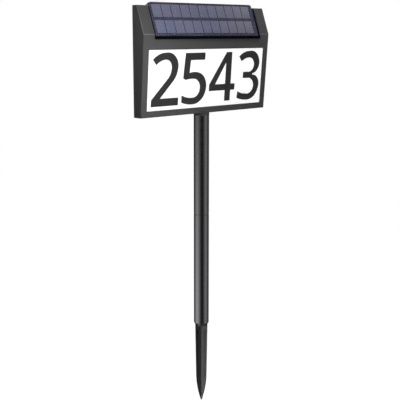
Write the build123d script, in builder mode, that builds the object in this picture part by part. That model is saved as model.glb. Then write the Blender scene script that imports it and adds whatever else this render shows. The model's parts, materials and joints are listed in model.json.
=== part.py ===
"""Solar house number sign on a ground stake.

All sizes are millimetres. X runs to the right as the sign is read, Y runs back, away from the
reader, and Z runs up. The origin is where the pole's axis meets the ground, so the spike lies
below Z = 0 and the casing stands above the pole.
"""

import os
from math import hypot, radians, tan

from build123d import *

os.makedirs("parts", exist_ok=True)

# --- Driving dimensions ------------------------------------------------------------------------

# Casing: a wedge with an upright back, a face that leans back towards its foot and, above the
# nose line, a steep slope for the solar panel.
sign_width = 300.0
face_height = 135.0
slope_rise = 46.5
nose_depth = 28.0
bottom_setback = 10.2
slope_setback = 17.0
casing_wall = 2.5
casing_round = 1.2
cover_thickness = 2.5
cover_gap = 0.2
ledge_width = 2.6
ledge_depth = 2.6
cover_seal_width = 1.4
cover_seal_depth = 1.0

# Window, opal diffuser and the white tray behind it.
window_side_margin = 12.5
window_top_margin = 24.8
window_bottom_margin = 10.6
window_corner = 1.0
window_edge_chamfer = 0.4
diffuser_recess = 1.0
diffuser_gap = 0.2
diffuser_overlap = 2.0
diffuser_flange = 1.5
gasket_thickness = 0.5
tray_depth = 7.0
tray_wall = 1.0
tray_clearance = 0.6
tray_tab_width = 12.0
tray_tab_height = 12.0
tray_tab_thickness = 1.5
tray_tab_spacing = 120.0
tray_screw_inset = 4.5
tray_rib_thickness = 1.5
tray_rib_height = 11.0
tray_rib_width = 16.0
tray_rib_spacing = 180.0

# Digits: flat plates on the diffuser, as large as these margins inside the window allow.
digit_thickness = 0.9
digit_left_margin = 8.4
digit_right_margin = 6.35
digit_base_margin = 7.8
digit_top_margin = 5.9
digit_gap_share = 0.09

# Light strip on top of the tray.
led_count = 12
led_pitch = 22.0
led_width = 3.5
led_depth = 2.8
led_height = 0.8
led_board_width = 5.0
led_board_thickness = 1.0
led_board_end_margin = 12.0
led_slot_margin = 0.3

# Solar panel on its black frame, which shows below it, on its right and over the casing's top.
panel_width = 243.0
panel_offset = -4.0
panel_top_overhang = 4.9
panel_nose_overhang = 3.2
panel_corner = 1.0
panel_crest_corner = 4.0
panel_tape = 0.4
panel_tape_inset = 2.4
panel_frame_width = 250.8
panel_frame_offset = -1.4
panel_frame_inset = 0.5
panel_frame_thickness = 0.8
drip_lip_drop = 5.0
drip_lip_thickness = 2.0
drip_lip_corner = 1.5
hood_reach = 7.5
hood_gap = 0.3
hood_end_inset = 4.5
laminate_thickness = 1.1
cell_thickness = 0.2
cell_columns = 11
cell_rows = 2
cell_side_margin = 6.75
cell_offset = -3.1
cell_foot_margin = 4.8
cell_top_margin = 3.7
cell_gap = 1.9
cell_row_gap = 5.6
glaze_thickness = 0.7
grommet_radius = 3.2
grommet_bore = 2.1
grommet_flange = 4.4
grommet_flange_thickness = 0.8
grommet_up_slope = 26.0

# Pole: two tubes with a plug at each joint.
pole_radius = 13.75
pole_wall = 1.0
lower_pole_length = 209.0
upper_pole_length = 176.5
pole_end_radius = 11.1
pole_end_opening = 10.3
pole_end_taper = 5.0
pole_behind_nose = 23.0
glue_gap = 0.03
turning_gap = 0.05
coupler_ring_height = 3.4
coupler_ring_step = 0.2
coupler_plug_length = 35.0
plug_wall = 2.5
plug_chamfer = 1.0
cap_collar_height = 4.6
cap_collar_step = 0.15
cap_plug_length = 28.0

# Tongue of the pole cap and the bracket that slides over it, behind the casing.
tongue_width = 16.0
tongue_thickness = 5.0
tongue_height = 49.0
tongue_gap = 0.3
tongue_chamfer = 1.5
bracket_wall = 2.4
bracket_headroom = 0.8
bracket_ear_width = 11.0
bracket_ear_thickness = 2.5
bracket_screw_inset = 9.0
bracket_boss_height = 3.3
boss_floor = 0.8
screw_tip_gap = 0.4

# Ground spike: a fluted square bar with a curved point.
spike_length = 150.4
spike_side = 16.2
spike_waist_side = 14.0
spike_waist_depth = 95.5
spike_bulge_side = 9.8
spike_bulge_depth = 127.5
spike_tip_side = 1.4
spike_flute_width = 6.0
spike_flute_depth = 1.7
spike_flute_top = 9.0
spike_flute_length = 104.0
spike_shoulder_height = 1.6
spigot_radius = 9.0
spigot_length = 38.0
socket_length = 40.0

# Fasteners.
boss_radius = 2.8
boss_from_side = 7.5
pilot_radius = 1.15
pilot_depth = 9.0
thread_gap = 0.02
shank_radius = 1.4
shank_hole_radius = 1.6
screw_head_radius = 2.75
screw_head_height = 1.6
screw_head_rim = 0.2
pan_head_height = 1.7
cover_screw_length = 11.0
cover_screw_heights = (8.0, 62.0, 118.0, 170.0)
top_screw_spacing = 130.0
top_screw_drop = 7.5
driver_slot_length = 3.2
driver_slot_width = 0.7
driver_slot_depth = 0.8

# Hooks along the cover's lower edge.
hook_spacing = 60.0
hook_width = 18.0
hook_thickness = 1.6
hook_drop = 1.8
hook_gap = 0.2

# Control board, its parts and the button behind it.
board_width = 62.0
board_height = 24.0
board_thickness = 1.6
board_corner = 1.0
board_right = 44.0
board_above_foot = 134.0
board_post_radius = 2.6
board_hole_inset = 3.2
board_pilot_radius = 0.9
board_hole_gap = 0.1
board_screw_bite = 4.0
board_screw_head = 1.8
board_screw_head_height = 1.1
connector_width = 8.0
connector_depth = 7.0
connector_height = 5.2
connector_wall = 0.8
plug_reach = 2.0
button_radius = 5.9
button_bore_gap = 0.1
button_stand_out = 2.2
button_round = 0.8
button_flange_radius = 7.4
button_flange_thickness = 1.1
button_travel = 1.0
button_seal_thickness = 1.0
button_seal_inner = 6.3
button_seal_outer = 7.8
button_collar_radius = 9.0
button_collar_height = 1.2
switch_side = 6.2
switch_height = 3.2
switch_corner = 0.5
switch_clearance = 0.2
plunger_radius = 1.75
plunger_gap = 0.07
plunger_bore_depth = 2.8

# Battery and its holder.
cell_radius = 9.1
cell_length = 65.0
cell_round = 0.8
battery_right = -48.0
battery_above_foot = 127.0
holder_base = 1.5
holder_wall = 1.4
holder_depth = 13.5
holder_play = 0.1
holder_corner = 1.0
nub_radius = 3.0
nub_height = 1.2
contact_thickness = 0.4
contact_side = 6.2
contact_tab_width = 3.0
contact_tab_reach = 2.6
spring_length = 4.6
spring_radius = 2.7
spring_wire = 0.35
spring_turns = 3

# Leads inside the casing.
lead_radius = 0.65
lead_spacing = 2.5

# --- Places worked out from the dimensions ------------------------------------------------------

pole_inner = pole_radius - pole_wall
ring_foot_z = lower_pole_length
ring_top_z = ring_foot_z + coupler_ring_height
cap_foot_z = ring_top_z + upper_pole_length
head_z = cap_foot_z + cap_collar_height
nose_z = head_z + face_height
top_z = nose_z + slope_rise
mid_z = (head_z + top_z) / 2
nose_y = -pole_behind_nose
foot_y = nose_y + bottom_setback
slope_top_y = nose_y + slope_setback
back_y = nose_y + nose_depth
inner_back_y = back_y - cover_thickness
cavity_width = sign_width - 2 * casing_wall
cavity_height = top_z - head_z - 2 * casing_wall
casing_outline = [
    (foot_y, head_z),
    (nose_y, nose_z),
    (slope_top_y, top_z),
    (back_y, top_z),
    (back_y, head_z),
]

face_length = hypot(face_height, bottom_setback)
face_plane = Plane(
    origin=(0, foot_y, head_z), x_dir=(1, 0, 0), z_dir=(0, -face_height, -bottom_setback)
)
slope_length = hypot(slope_rise, slope_setback)
slope_plane = Plane(
    origin=(0, nose_y, nose_z), x_dir=(1, 0, 0), z_dir=(0, -slope_rise, slope_setback)
)

window_width = sign_width - 2 * window_side_margin
window_height = face_length - window_top_margin - window_bottom_margin
window_middle = window_bottom_margin + window_height / 2
tray_front = -(casing_wall + gasket_thickness + diffuser_flange)
tray_width = window_width + 2 * (tray_clearance + tray_wall)
tray_height = window_height + 2 * (tray_clearance + tray_wall)
tray_top = window_middle + tray_height / 2
tray_tab_xs = (-tray_tab_spacing, 0, tray_tab_spacing)
tray_screw_up = tray_top + tray_tab_height - tray_screw_inset


def front_facing(y, x=0.0, z=0.0):
    """Upright plane at depth y whose normal points to the reader."""
    return Plane(origin=(x, y, z), x_dir=(1, 0, 0), z_dir=(0, -1, 0))


def rear_facing(y, x=0.0, z=0.0):
    """Upright plane at depth y whose normal points away from the reader."""
    return Plane(origin=(x, y, z), x_dir=(-1, 0, 0), z_dir=(0, 1, 0))


def front_surface_y(z):
    """Depth of the casing's outer front surface at height z."""
    if z < nose_z:
        return foot_y - bottom_setback * (z - head_z) / face_height
    return nose_y + slope_setback * (z - nose_z) / slope_rise


def trace(start, steps):
    """Draw lines (end x, y) and arcs (x, y on the way, end x, y) one after the other."""
    here = start
    for step in steps:
        if len(step) == 2:
            Line(here, step)
        else:
            ThreePointArc(here, step[:2], step[2:])
        here = step[-2:]


def finish(builder, name):
    """Label a finished piece and write it to its file."""
    builder.part.label = name
    export_step(builder.part, f"parts/{name}.step")


# --- Screws, made once and set down where they are used ------------------------------------------

countersunk_profile = [
    (0, 0),
    (screw_head_radius, 0),
    (screw_head_radius, -screw_head_rim),
    (shank_radius, -screw_head_height),
    (shank_radius, -cover_thickness),
    (pilot_radius - thread_gap, -cover_thickness),
    (pilot_radius - thread_gap, pilot_radius - cover_screw_length),
    (0, -cover_screw_length),
]


def pan_profile(head_radius, head_height, clamped, thread_radius, length):
    """Half section of a pan-head screw whose head sits on the plane of its origin."""
    return [
        (0, head_height),
        (0.7 * head_radius, head_height),
        (head_radius, 0.45 * head_height),
        (head_radius, 0),
        (thread_radius, 0),
        (thread_radius, -clamped - length + thread_radius),
        (0, -clamped - length),
    ]


def driver_cross(top):
    """Cut the cross for a screwdriver into a screw head whose top is at this height."""
    for turn in (0, 90):
        with Locations(Location((0, 0, top), (0, 0, turn))):
            Box(
                driver_slot_length,
                driver_slot_width,
                2 * driver_slot_depth,
                mode=Mode.SUBTRACT,
            )


with BuildPart() as countersunk_screw:
    with BuildSketch(Plane.XZ):
        with BuildLine():
            Polyline(*countersunk_profile, close=True)
        make_face()
    revolve(axis=Axis.Z)
    driver_cross(0)

with BuildPart() as tray_screw:
    with BuildSketch(Plane.XZ):
        with BuildLine():
            Polyline(
                *pan_profile(
                    screw_head_radius,
                    pan_head_height,
                    tray_tab_thickness,
                    pilot_radius - thread_gap,
                    casing_wall,
                ),
                close=True,
            )
        make_face()
    revolve(axis=Axis.Z)
    driver_cross(pan_head_height)

with BuildPart() as bracket_screw:
    with BuildSketch(Plane.XZ):
        with BuildLine():
            Polyline(
                *pan_profile(
                    screw_head_radius,
                    pan_head_height,
                    bracket_ear_thickness,
                    pilot_radius - thread_gap,
                    cover_thickness + bracket_boss_height - boss_floor - screw_tip_gap,
                ),
                close=True,
            )
        make_face()
    revolve(axis=Axis.Z)
    driver_cross(pan_head_height)

with BuildPart() as board_screw:
    with BuildSketch(Plane.XZ):
        with BuildLine():
            Polyline(
                *pan_profile(
                    board_screw_head,
                    board_screw_head_height,
                    board_thickness,
                    board_pilot_radius - thread_gap,
                    board_screw_bite,
                ),
                close=True,
            )
        make_face()
    revolve(axis=Axis.Z)

# --- Where the fasteners go ----------------------------------------------------------------------

side_screw_x = sign_width / 2 - boss_from_side
cover_screw_spots = [
    (side * side_screw_x, head_z + height) for side in (-1, 1) for height in cover_screw_heights
]
cover_screw_spots += [
    (side * top_screw_spacing / 2, top_z - top_screw_drop) for side in (-1, 1)
]
pocket_half_width = tongue_width / 2 + tongue_gap
bracket_half_width = pocket_half_width + bracket_wall
bracket_height = tongue_height + bracket_headroom + bracket_wall
bracket_screw_x = bracket_half_width + bracket_ear_width / 2
bracket_screw_spots = [
    (side * bracket_screw_x, head_z + height)
    for side in (-1, 1)
    for height in (bracket_screw_inset, bracket_height - bracket_screw_inset)
]

seal_flange_depth = button_seal_thickness + button_flange_thickness
board_standoff = seal_flange_depth + button_travel + switch_clearance + switch_height
board_z = head_z + board_above_foot
board_back_y = inner_back_y - board_standoff
board_front_y = board_back_y - board_thickness
board_hole_spots = [
    (
        board_right + right * (board_width / 2 - board_hole_inset),
        board_z + up * (board_height / 2 - board_hole_inset),
    )
    for right in (-1, 1)
    for up in (-1, 1)
]

# --- Casing ---------------------------------------------------------------------------------------

with BuildPart() as front_housing:
    with BuildSketch(Plane.YZ):
        with BuildLine():
            Polyline(*casing_outline, close=True)
        make_face()
    extrude(amount=sign_width / 2, both=True)
    outer_edges = front_housing.edges().filter_by(
        lambda edge: edge.center().Y < back_y - casing_round / 2
    )
    fillet(outer_edges, casing_round)
    # hollow
    with BuildSketch(Plane.YZ):
        with BuildLine():
            Polyline(*casing_outline, close=True)
        make_face()
        offset(amount=-casing_wall, kind=Kind.INTERSECTION, mode=Mode.REPLACE)
    extrude(amount=cavity_width / 2, both=True, mode=Mode.SUBTRACT)
    # ledge that the rear cover lies on, with the seal's groove
    with BuildSketch(front_facing(inner_back_y, z=mid_z)):
        Rectangle(cavity_width, cavity_height)
        Rectangle(
            cavity_width - 2 * ledge_width, cavity_height - 2 * ledge_width, mode=Mode.SUBTRACT
        )
    extrude(amount=ledge_depth)
    with BuildSketch(rear_facing(inner_back_y, z=mid_z)):
        Rectangle(cavity_width, cavity_height)
    extrude(amount=cover_thickness, mode=Mode.SUBTRACT)
    # bosses for the cover's screws, from the front wall to the cover
    for boss_x, boss_z in cover_screw_spots:
        boss_front_y = front_surface_y(boss_z) + casing_wall / 2
        with BuildSketch(front_facing(inner_back_y, boss_x, boss_z)):
            Circle(boss_radius)
        extrude(amount=inner_back_y - boss_front_y)
    for boss_x, boss_z in cover_screw_spots:
        with BuildSketch(front_facing(inner_back_y, boss_x, boss_z)):
            Circle(pilot_radius)
        extrude(amount=pilot_depth, mode=Mode.SUBTRACT)
    with BuildSketch(front_facing(inner_back_y, z=mid_z)):
        groove_outer_cut = ledge_width - cover_seal_width
        groove_inner_cut = ledge_width + cover_seal_width
        Rectangle(cavity_width - groove_outer_cut, cavity_height - groove_outer_cut)
        Rectangle(
            cavity_width - groove_inner_cut,
            cavity_height - groove_inner_cut,
            mode=Mode.SUBTRACT,
        )
    extrude(amount=cover_seal_depth, mode=Mode.SUBTRACT)
    # window
    with BuildSketch(face_plane):
        with Locations((0, window_middle)):
            RectangleRounded(window_width, window_height, window_corner)
    extrude(amount=-(casing_wall + gasket_thickness), mode=Mode.SUBTRACT)
    window_rim = front_housing.edges(Select.LAST).filter_by(
        lambda edge: abs(face_plane.to_local_coords(edge.center()).Z) < 0.01
    )
    chamfer(window_rim, window_edge_chamfer)
    # bosses that the light tray's tabs are screwed to
    with BuildSketch(face_plane.offset(-casing_wall)):
        with Locations(*[(x, tray_screw_up) for x in tray_tab_xs]):
            Circle(boss_radius)
    extrude(amount=tray_front + casing_wall)
    with BuildSketch(face_plane.offset(tray_front)):
        with Locations(*[(x, tray_screw_up) for x in tray_tab_xs]):
            Circle(pilot_radius)
    extrude(amount=casing_wall + thread_gap, mode=Mode.SUBTRACT)
    # ribs that trap the tray's lower edge
    with BuildSketch(face_plane.offset(tray_front - tray_depth)):
        rib_middle = (casing_wall / 2 + window_bottom_margin + tray_rib_height) / 2
        with Locations((-tray_rib_spacing / 2, rib_middle), (tray_rib_spacing / 2, rib_middle)):
            Rectangle(tray_rib_width, 2 * (rib_middle - casing_wall / 2))
    extrude(amount=-tray_rib_thickness)
    # hole for the panel's grommet
    with BuildSketch(slope_plane):
        with Locations((board_right + board_width / 4, grommet_up_slope)):
            Circle(grommet_radius)
    extrude(amount=-2 * casing_wall, mode=Mode.SUBTRACT)
finish(front_housing, "front_housing")

with BuildPart() as rear_cover:
    with BuildSketch(rear_facing(inner_back_y, z=mid_z)):
        Rectangle(cavity_width - 2 * cover_gap, cavity_height - 2 * cover_gap)
    extrude(amount=cover_thickness)
    # collar around the button
    with BuildSketch(rear_facing(back_y, board_right, board_z)):
        Circle(button_collar_radius)
    extrude(amount=button_collar_height)
    collar_rim = rear_cover.edges().group_by(Axis.Y)[-1]
    fillet(collar_rim, button_collar_height / 2)
    # posts for the control board
    for post_x, post_z in board_hole_spots:
        with BuildSketch(front_facing(inner_back_y, post_x, post_z)):
            Circle(board_post_radius)
            Circle(board_pilot_radius, mode=Mode.SUBTRACT)
        extrude(amount=board_standoff)
    # bosses for the bracket's screws
    for boss_x, boss_z in bracket_screw_spots:
        with BuildSketch(front_facing(inner_back_y, boss_x, boss_z)):
            Circle(boss_radius)
        extrude(amount=bracket_boss_height)
    # hooks that slip in front of the casing's lower ledge
    hook_root_z = head_z + casing_wall + ledge_width + hook_gap
    hook_front_y = inner_back_y - ledge_depth - hook_gap
    for hook_x in (-hook_spacing, hook_spacing):
        with BuildSketch(Plane.YZ.offset(hook_x)):
            with BuildLine():
                Polyline(
                    (inner_back_y, hook_root_z),
                    (inner_back_y, hook_root_z + hook_thickness),
                    (hook_front_y - hook_thickness, hook_root_z + hook_thickness),
                    (hook_front_y - hook_thickness, hook_root_z - hook_drop),
                    (hook_front_y, hook_root_z - hook_drop),
                    (hook_front_y, hook_root_z),
                    close=True,
                )
            make_face()
        extrude(amount=hook_width / 2, both=True)
    # holes
    with Locations(*[rear_facing(back_y, x, z) for x, z in cover_screw_spots]):
        CounterSinkHole(
            radius=shank_hole_radius,
            counter_sink_radius=screw_head_radius + cover_gap,
            depth=cover_thickness,
        )
    with Locations(*[rear_facing(back_y, x, z) for x, z in bracket_screw_spots]):
        Hole(radius=pilot_radius, depth=cover_thickness + bracket_boss_height - boss_floor)
    with Locations(rear_facing(back_y + button_collar_height, board_right, board_z)):
        Hole(
            radius=button_radius + button_bore_gap,
            depth=cover_thickness + button_collar_height,
        )
finish(rear_cover, "rear_cover")

with BuildPart() as cover_seal:
    with BuildSketch(front_facing(inner_back_y, z=mid_z)):
        Rectangle(cavity_width - groove_outer_cut, cavity_height - groove_outer_cut)
        Rectangle(
            cavity_width - groove_inner_cut,
            cavity_height - groove_inner_cut,
            mode=Mode.SUBTRACT,
        )
    extrude(amount=cover_seal_depth)
finish(cover_seal, "cover_seal")

with BuildPart() as cover_screws:
    with Locations(*[rear_facing(back_y, x, z) for x, z in cover_screw_spots]):
        add(countersunk_screw.part)
finish(cover_screws, "cover_screws")

# --- Window: gasket, diffuser, digits and the light box behind them --------------------------------

with BuildPart() as window_gasket:
    with BuildSketch(face_plane.offset(-casing_wall)):
        with Locations((0, window_middle)):
            Rectangle(
                window_width + 2 * diffuser_overlap, window_height + 2 * diffuser_overlap
            )
            Rectangle(window_width, window_height, mode=Mode.SUBTRACT)
    extrude(amount=-gasket_thickness)
finish(window_gasket, "window_gasket")

with BuildPart() as diffuser:
    with BuildSketch(face_plane.offset(tray_front)):
        with Locations((0, window_middle)):
            Rectangle(
                window_width + 2 * diffuser_overlap, window_height + 2 * diffuser_overlap
            )
    extrude(amount=diffuser_flange)
    with BuildSketch(face_plane.offset(tray_front + diffuser_flange)):
        with Locations((0, window_middle)):
            RectangleRounded(
                window_width - 2 * diffuser_gap, window_height - 2 * diffuser_gap, window_corner
            )
    extrude(amount=gasket_thickness + casing_wall - diffuser_recess)
finish(diffuser, "diffuser")


# Outlines of the digits on a drawing grid: x from the digit's left side, y from the base line.
# Two numbers are the end of a line, and four are a point on an arc and the arc's end.
outline_2 = [
    (0, -1),
    (60, -1),
    (60, 12),
    (18.8, 12),
    (46, 39.2),
    (54.5, 51.5, 57.5, 66.5),
    (50.2, 81.2, 30.5, 87.6),
    (14, 84.6, 1.2, 76.4),
    (8.7, 67.8),
    (17.3, 73.4, 28.5, 76),
    (39, 72.4, 43.2, 62),
    (41.4, 53.2, 35.5, 44.4),
    (0, 10),
    (0, -1),
]
outline_5 = [
    (6, 86.3),
    (51.5, 86.3),
    (51.5, 74.1),
    (18, 74.1),
    (16, 52.2),
    (27, 53.9, 38, 52.6),
    (51.8, 44, 57.2, 27.5),
    (49.4, 8.6, 27, -1.5),
    (13, -0.7, 0.4, 2.6),
    (0.4, 15),
    (12, 11, 24, 10),
    (37.8, 14.6, 42.8, 27.5),
    (38.4, 37.2, 25, 42.4),
    (16, 42.2, 7.5, 41),
    (2.4, 44),
    (6, 86.3),
]
outline_4 = [
    (0, 19.3),
    (39.6, 19.3),
    (39.6, 0.2),
    (53, 0.2),
    (53, 19.3),
    (63.5, 19.3),
    (63.5, 30.4),
    (53, 30.4),
    (53, 86.3),
    (40, 86.3),
    (0, 30.4),
    (0, 19.3),
]
outline_3 = [
    (1.2, 78.1),
    (13, 84.9, 28, 87.4),
    (47, 82.2, 55, 66),
    (49.7, 53, 37.5, 46.8),
    (37.5, 44.4),
    (50.2, 40.2, 56.3, 27),
    (47.6, 7.6, 23, -0.5),
    (10, 0.8, 0, 4),
    (1.3, 15.6),
    (10.5, 12.2, 22, 10.9),
    (37, 13.9, 42.8, 24.5),
    (37.9, 34.8, 24, 38.8),
    (13.5, 39.2),
    (13.5, 50),
    (25, 50.1),
    (36.9, 53.3, 41.3, 63.6),
    (37.2, 71.9, 26.5, 75.6),
    (17.5, 74.3, 10.5, 70.8),
    (6.5, 70.2),
    (1.2, 78.1),
]
opening_4 = [(13.8, 30.4), (39.6, 30.4), (39.6, 69.5)]


def drawn_size(outline, axis):
    """Furthest end point of an outline along the grid's x (-2) or y (-1)."""
    return max(step[axis] for step in outline)


# the row of digits is scaled from the grid to the space that the window leaves it
drawn_widths = [drawn_size(outline, -2) for outline in (outline_2, outline_5, outline_4, outline_3)]
drawn_height = drawn_size(outline_4, -1)
drawn_gap = digit_gap_share * drawn_height
drawn_row = sum(drawn_widths) + (len(drawn_widths) - 1) * drawn_gap
space_across = window_width - digit_left_margin - digit_right_margin
space_up = window_height - digit_base_margin - digit_top_margin
digit_scale = min(space_across / drawn_row, space_up / drawn_height)
row_left = (digit_left_margin - digit_right_margin - digit_scale * drawn_row) / 2
row_base = window_middle + (digit_base_margin - digit_top_margin - digit_scale * drawn_height) / 2


def digit_plane(place):
    """Plane of the diffuser's surface, with its origin at the foot of a digit's left side."""
    drawn_left = sum(drawn_widths[:place]) + place * drawn_gap
    corner = face_plane.from_local_coords(
        (row_left + digit_scale * drawn_left, row_base, -diffuser_recess)
    )
    return Plane(origin=corner, x_dir=(1, 0, 0), z_dir=face_plane.z_dir)


with BuildPart() as digit_2:
    with BuildSketch(digit_plane(0)):
        with BuildLine():
            trace(outline_2[0], outline_2[1:])
        make_face()
        scale(by=digit_scale)
    extrude(amount=digit_thickness)
finish(digit_2, "digit_2")

with BuildPart() as digit_5:
    with BuildSketch(digit_plane(1)):
        with BuildLine():
            trace(outline_5[0], outline_5[1:])
        make_face()
        scale(by=digit_scale)
    extrude(amount=digit_thickness)
finish(digit_5, "digit_5")

with BuildPart() as digit_4:
    with BuildSketch(digit_plane(2)):
        with BuildLine():
            trace(outline_4[0], outline_4[1:])
        make_face()
        with BuildLine():
            Polyline(*opening_4, close=True)
        make_face(mode=Mode.SUBTRACT)
        scale(by=digit_scale)
    extrude(amount=digit_thickness)
finish(digit_4, "digit_4")

with BuildPart() as digit_3:
    with BuildSketch(digit_plane(3)):
        with BuildLine():
            trace(outline_3[0], outline_3[1:])
        make_face()
        scale(by=digit_scale)
    extrude(amount=digit_thickness)
finish(digit_3, "digit_3")

led_row_depth = tray_front - tray_tab_thickness - led_slot_margin - led_board_width / 2
with BuildPart(face_plane) as light_tray:
    with Locations((0, window_middle, tray_front)):
        Box(tray_width, tray_height, tray_depth, align=(Align.CENTER, Align.CENTER, Align.MAX))
        Box(
            tray_width - 2 * tray_wall,
            tray_height - 2 * tray_wall,
            tray_depth - tray_wall,
            align=(Align.CENTER, Align.CENTER, Align.MAX),
            mode=Mode.SUBTRACT,
        )
    with Locations(*[(x, tray_top, tray_front) for x in tray_tab_xs]):
        Box(
            tray_tab_width,
            tray_tab_height,
            tray_tab_thickness,
            align=(Align.CENTER, Align.MIN, Align.MAX),
        )
    with Locations(*[(x, tray_screw_up, tray_front) for x in tray_tab_xs]):
        Cylinder(shank_hole_radius, 4 * tray_tab_thickness, mode=Mode.SUBTRACT)
    with Locations((0, tray_top, led_row_depth)):
        Box(
            (led_count - 1) * led_pitch + led_width + 2 * led_slot_margin,
            4 * tray_wall,
            led_depth + 2 * led_slot_margin,
            mode=Mode.SUBTRACT,
        )
finish(light_tray, "light_tray")

with BuildPart() as tray_screws:
    tab_back = tray_front - tray_tab_thickness
    for tab_x in tray_tab_xs:
        spot = face_plane.from_local_coords((tab_x, tray_screw_up, tab_back))
        with Locations(Plane(origin=spot, x_dir=(-1, 0, 0), z_dir=-face_plane.z_dir)):
            add(tray_screw.part)
finish(tray_screws, "tray_screws")

with BuildPart(face_plane) as led_board:
    with Locations((0, tray_top, led_row_depth)):
        Box(
            tray_width - 2 * led_board_end_margin,
            led_board_thickness,
            led_board_width,
            align=(Align.CENTER, Align.MIN, Align.CENTER),
        )
finish(led_board, "led_board")

with BuildPart(face_plane) as leds:
    first_led_x = -led_pitch * (led_count - 1) / 2
    led_places = [
        (first_led_x + led_pitch * index, tray_top, led_row_depth) for index in range(led_count)
    ]
    with Locations(*led_places):
        Box(led_width, led_height, led_depth, align=(Align.CENTER, Align.MAX, Align.CENTER))
finish(leds, "leds")

# --- Solar panel ---------------------------------------------------------------------------------

panel_foot = -panel_nose_overhang
panel_head = slope_length + panel_top_overhang
panel_middle = (panel_foot + panel_head) / 2
panel_length = panel_head - panel_foot
laminate_foot = panel_tape + panel_frame_thickness
cells_across = panel_width - 2 * cell_side_margin - (cell_columns - 1) * cell_gap
cells_along = (
    panel_length - cell_foot_margin - cell_top_margin - (cell_rows - 1) * cell_row_gap
)
cells_middle = panel_middle + (cell_foot_margin - cell_top_margin) / 2
cell_width = cells_across / cell_columns
cell_height = cells_along / cell_rows
grommet_x = board_right + board_width / 4


def panel_outline(inset):
    """Outline of a layer of the panel, drawn in from the laminate's by the inset."""
    with BuildSketch() as outline:
        Rectangle(panel_width - 2 * inset, panel_length - 2 * inset)
        fillet(outline.vertices().group_by(Axis.Y)[-1], panel_crest_corner - inset)
        fillet(outline.vertices().group_by(Axis.Y)[0], panel_corner)
    return outline.sketch


with BuildPart() as panel_gasket:
    with BuildSketch(slope_plane):
        with Locations((panel_frame_offset, slope_length / 2)):
            Rectangle(panel_frame_width - 2 * panel_tape_inset, slope_length - 4 * casing_round)
        with Locations((grommet_x, grommet_up_slope)):
            Circle(grommet_flange, mode=Mode.SUBTRACT)
    extrude(amount=panel_tape)
finish(panel_gasket, "panel_gasket")

# side view of the frame's lip in front of the nose line and of its hood over the casing's top
frame_rear = slope_plane.from_local_coords((0, panel_head - panel_frame_inset, panel_tape))
frame_crest = slope_plane.from_local_coords((0, panel_head - panel_frame_inset, laminate_foot))
frame_brow = slope_plane.from_local_coords((0, panel_foot, laminate_foot))
frame_heel = slope_plane.from_local_coords((0, panel_foot, panel_tape))
hood_foot = slope_plane.from_local_coords((0, slope_length + hood_gap, panel_tape))
drip_edge_z = frame_brow.Z - drip_lip_drop
hood_left = panel_offset - panel_width / 2 + panel_frame_inset
hood_right = panel_offset + panel_width / 2 - hood_end_inset

with BuildPart() as panel_frame:
    with BuildSketch(slope_plane.offset(panel_tape)):
        with Locations((panel_offset, panel_middle)):
            add(panel_outline(panel_frame_inset))
        with Locations((panel_frame_offset, panel_foot)):
            Rectangle(
                panel_frame_width,
                slope_length - casing_round - panel_foot,
                align=(Align.CENTER, Align.MIN),
            )
    extrude(amount=panel_frame_thickness)
    with BuildSketch(Plane.YZ.offset(panel_frame_offset)):
        with BuildLine():
            Polyline(
                (frame_brow.Y, frame_brow.Z),
                (frame_brow.Y, drip_edge_z),
                (frame_brow.Y + drip_lip_thickness, drip_edge_z),
                (frame_brow.Y + drip_lip_thickness, frame_heel.Z),
                (frame_heel.Y, frame_heel.Z),
                close=True,
            )
        make_face()
    extrude(amount=panel_frame_width / 2, both=True)
    fillet(panel_frame.edges().filter_by(Axis.Y).group_by(Axis.Z)[0], drip_lip_corner)
    with BuildSketch(Plane.YZ.offset(hood_left)):
        with BuildLine():
            Polyline(
                (frame_crest.Y, frame_crest.Z),
                (hood_foot.Y, hood_foot.Z),
                (hood_foot.Y + hood_reach, hood_foot.Z),
                (frame_rear.Y, frame_rear.Z),
                close=True,
            )
        make_face()
    extrude(amount=hood_right - hood_left)
    with BuildSketch(slope_plane):
        with Locations((grommet_x, grommet_up_slope)):
            Circle(grommet_radius)
    extrude(amount=panel_tape + 2 * panel_frame_thickness, mode=Mode.SUBTRACT)
finish(panel_frame, "panel_frame")

with BuildPart() as solar_laminate:
    with BuildSketch(slope_plane.offset(laminate_foot)):
        with Locations((panel_offset, panel_middle)):
            add(panel_outline(0))
    extrude(amount=laminate_thickness)
finish(solar_laminate, "solar_laminate")

with BuildPart() as solar_cells:
    with BuildSketch(slope_plane.offset(laminate_foot + laminate_thickness)):
        with Locations((panel_offset + cell_offset, cells_middle)):
            with GridLocations(
                cell_width + cell_gap, cell_height + cell_row_gap, cell_columns, cell_rows
            ):
                Rectangle(cell_width, cell_height)
    extrude(amount=cell_thickness)
finish(solar_cells, "solar_cells")

with BuildPart() as panel_glaze:
    with BuildSketch(slope_plane.offset(laminate_foot + laminate_thickness + cell_thickness)):
        with Locations((panel_offset, panel_middle)):
            add(panel_outline(0))
    extrude(amount=glaze_thickness)
finish(panel_glaze, "panel_glaze")

with BuildPart() as panel_grommet:
    with BuildSketch(slope_plane):
        with Locations((grommet_x, grommet_up_slope)):
            Circle(grommet_radius - glue_gap)
            Circle(grommet_bore, mode=Mode.SUBTRACT)
    extrude(amount=-casing_wall)
    with BuildSketch(slope_plane.offset(-casing_wall)):
        with Locations((grommet_x, grommet_up_slope)):
            Circle(grommet_flange)
            Circle(grommet_bore, mode=Mode.SUBTRACT)
    extrude(amount=-grommet_flange_thickness)
finish(panel_grommet, "panel_grommet")

# --- Control board, switch and button ---------------------------------------------------------------

with BuildPart() as control_board:
    with BuildSketch(front_facing(board_back_y, board_right, board_z)):
        RectangleRounded(board_width, board_height, board_corner)
    extrude(amount=board_thickness)
    with Locations(*[front_facing(board_front_y, x, z) for x, z in board_hole_spots]):
        Hole(radius=board_pilot_radius + board_hole_gap)
finish(control_board, "control_board")

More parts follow.
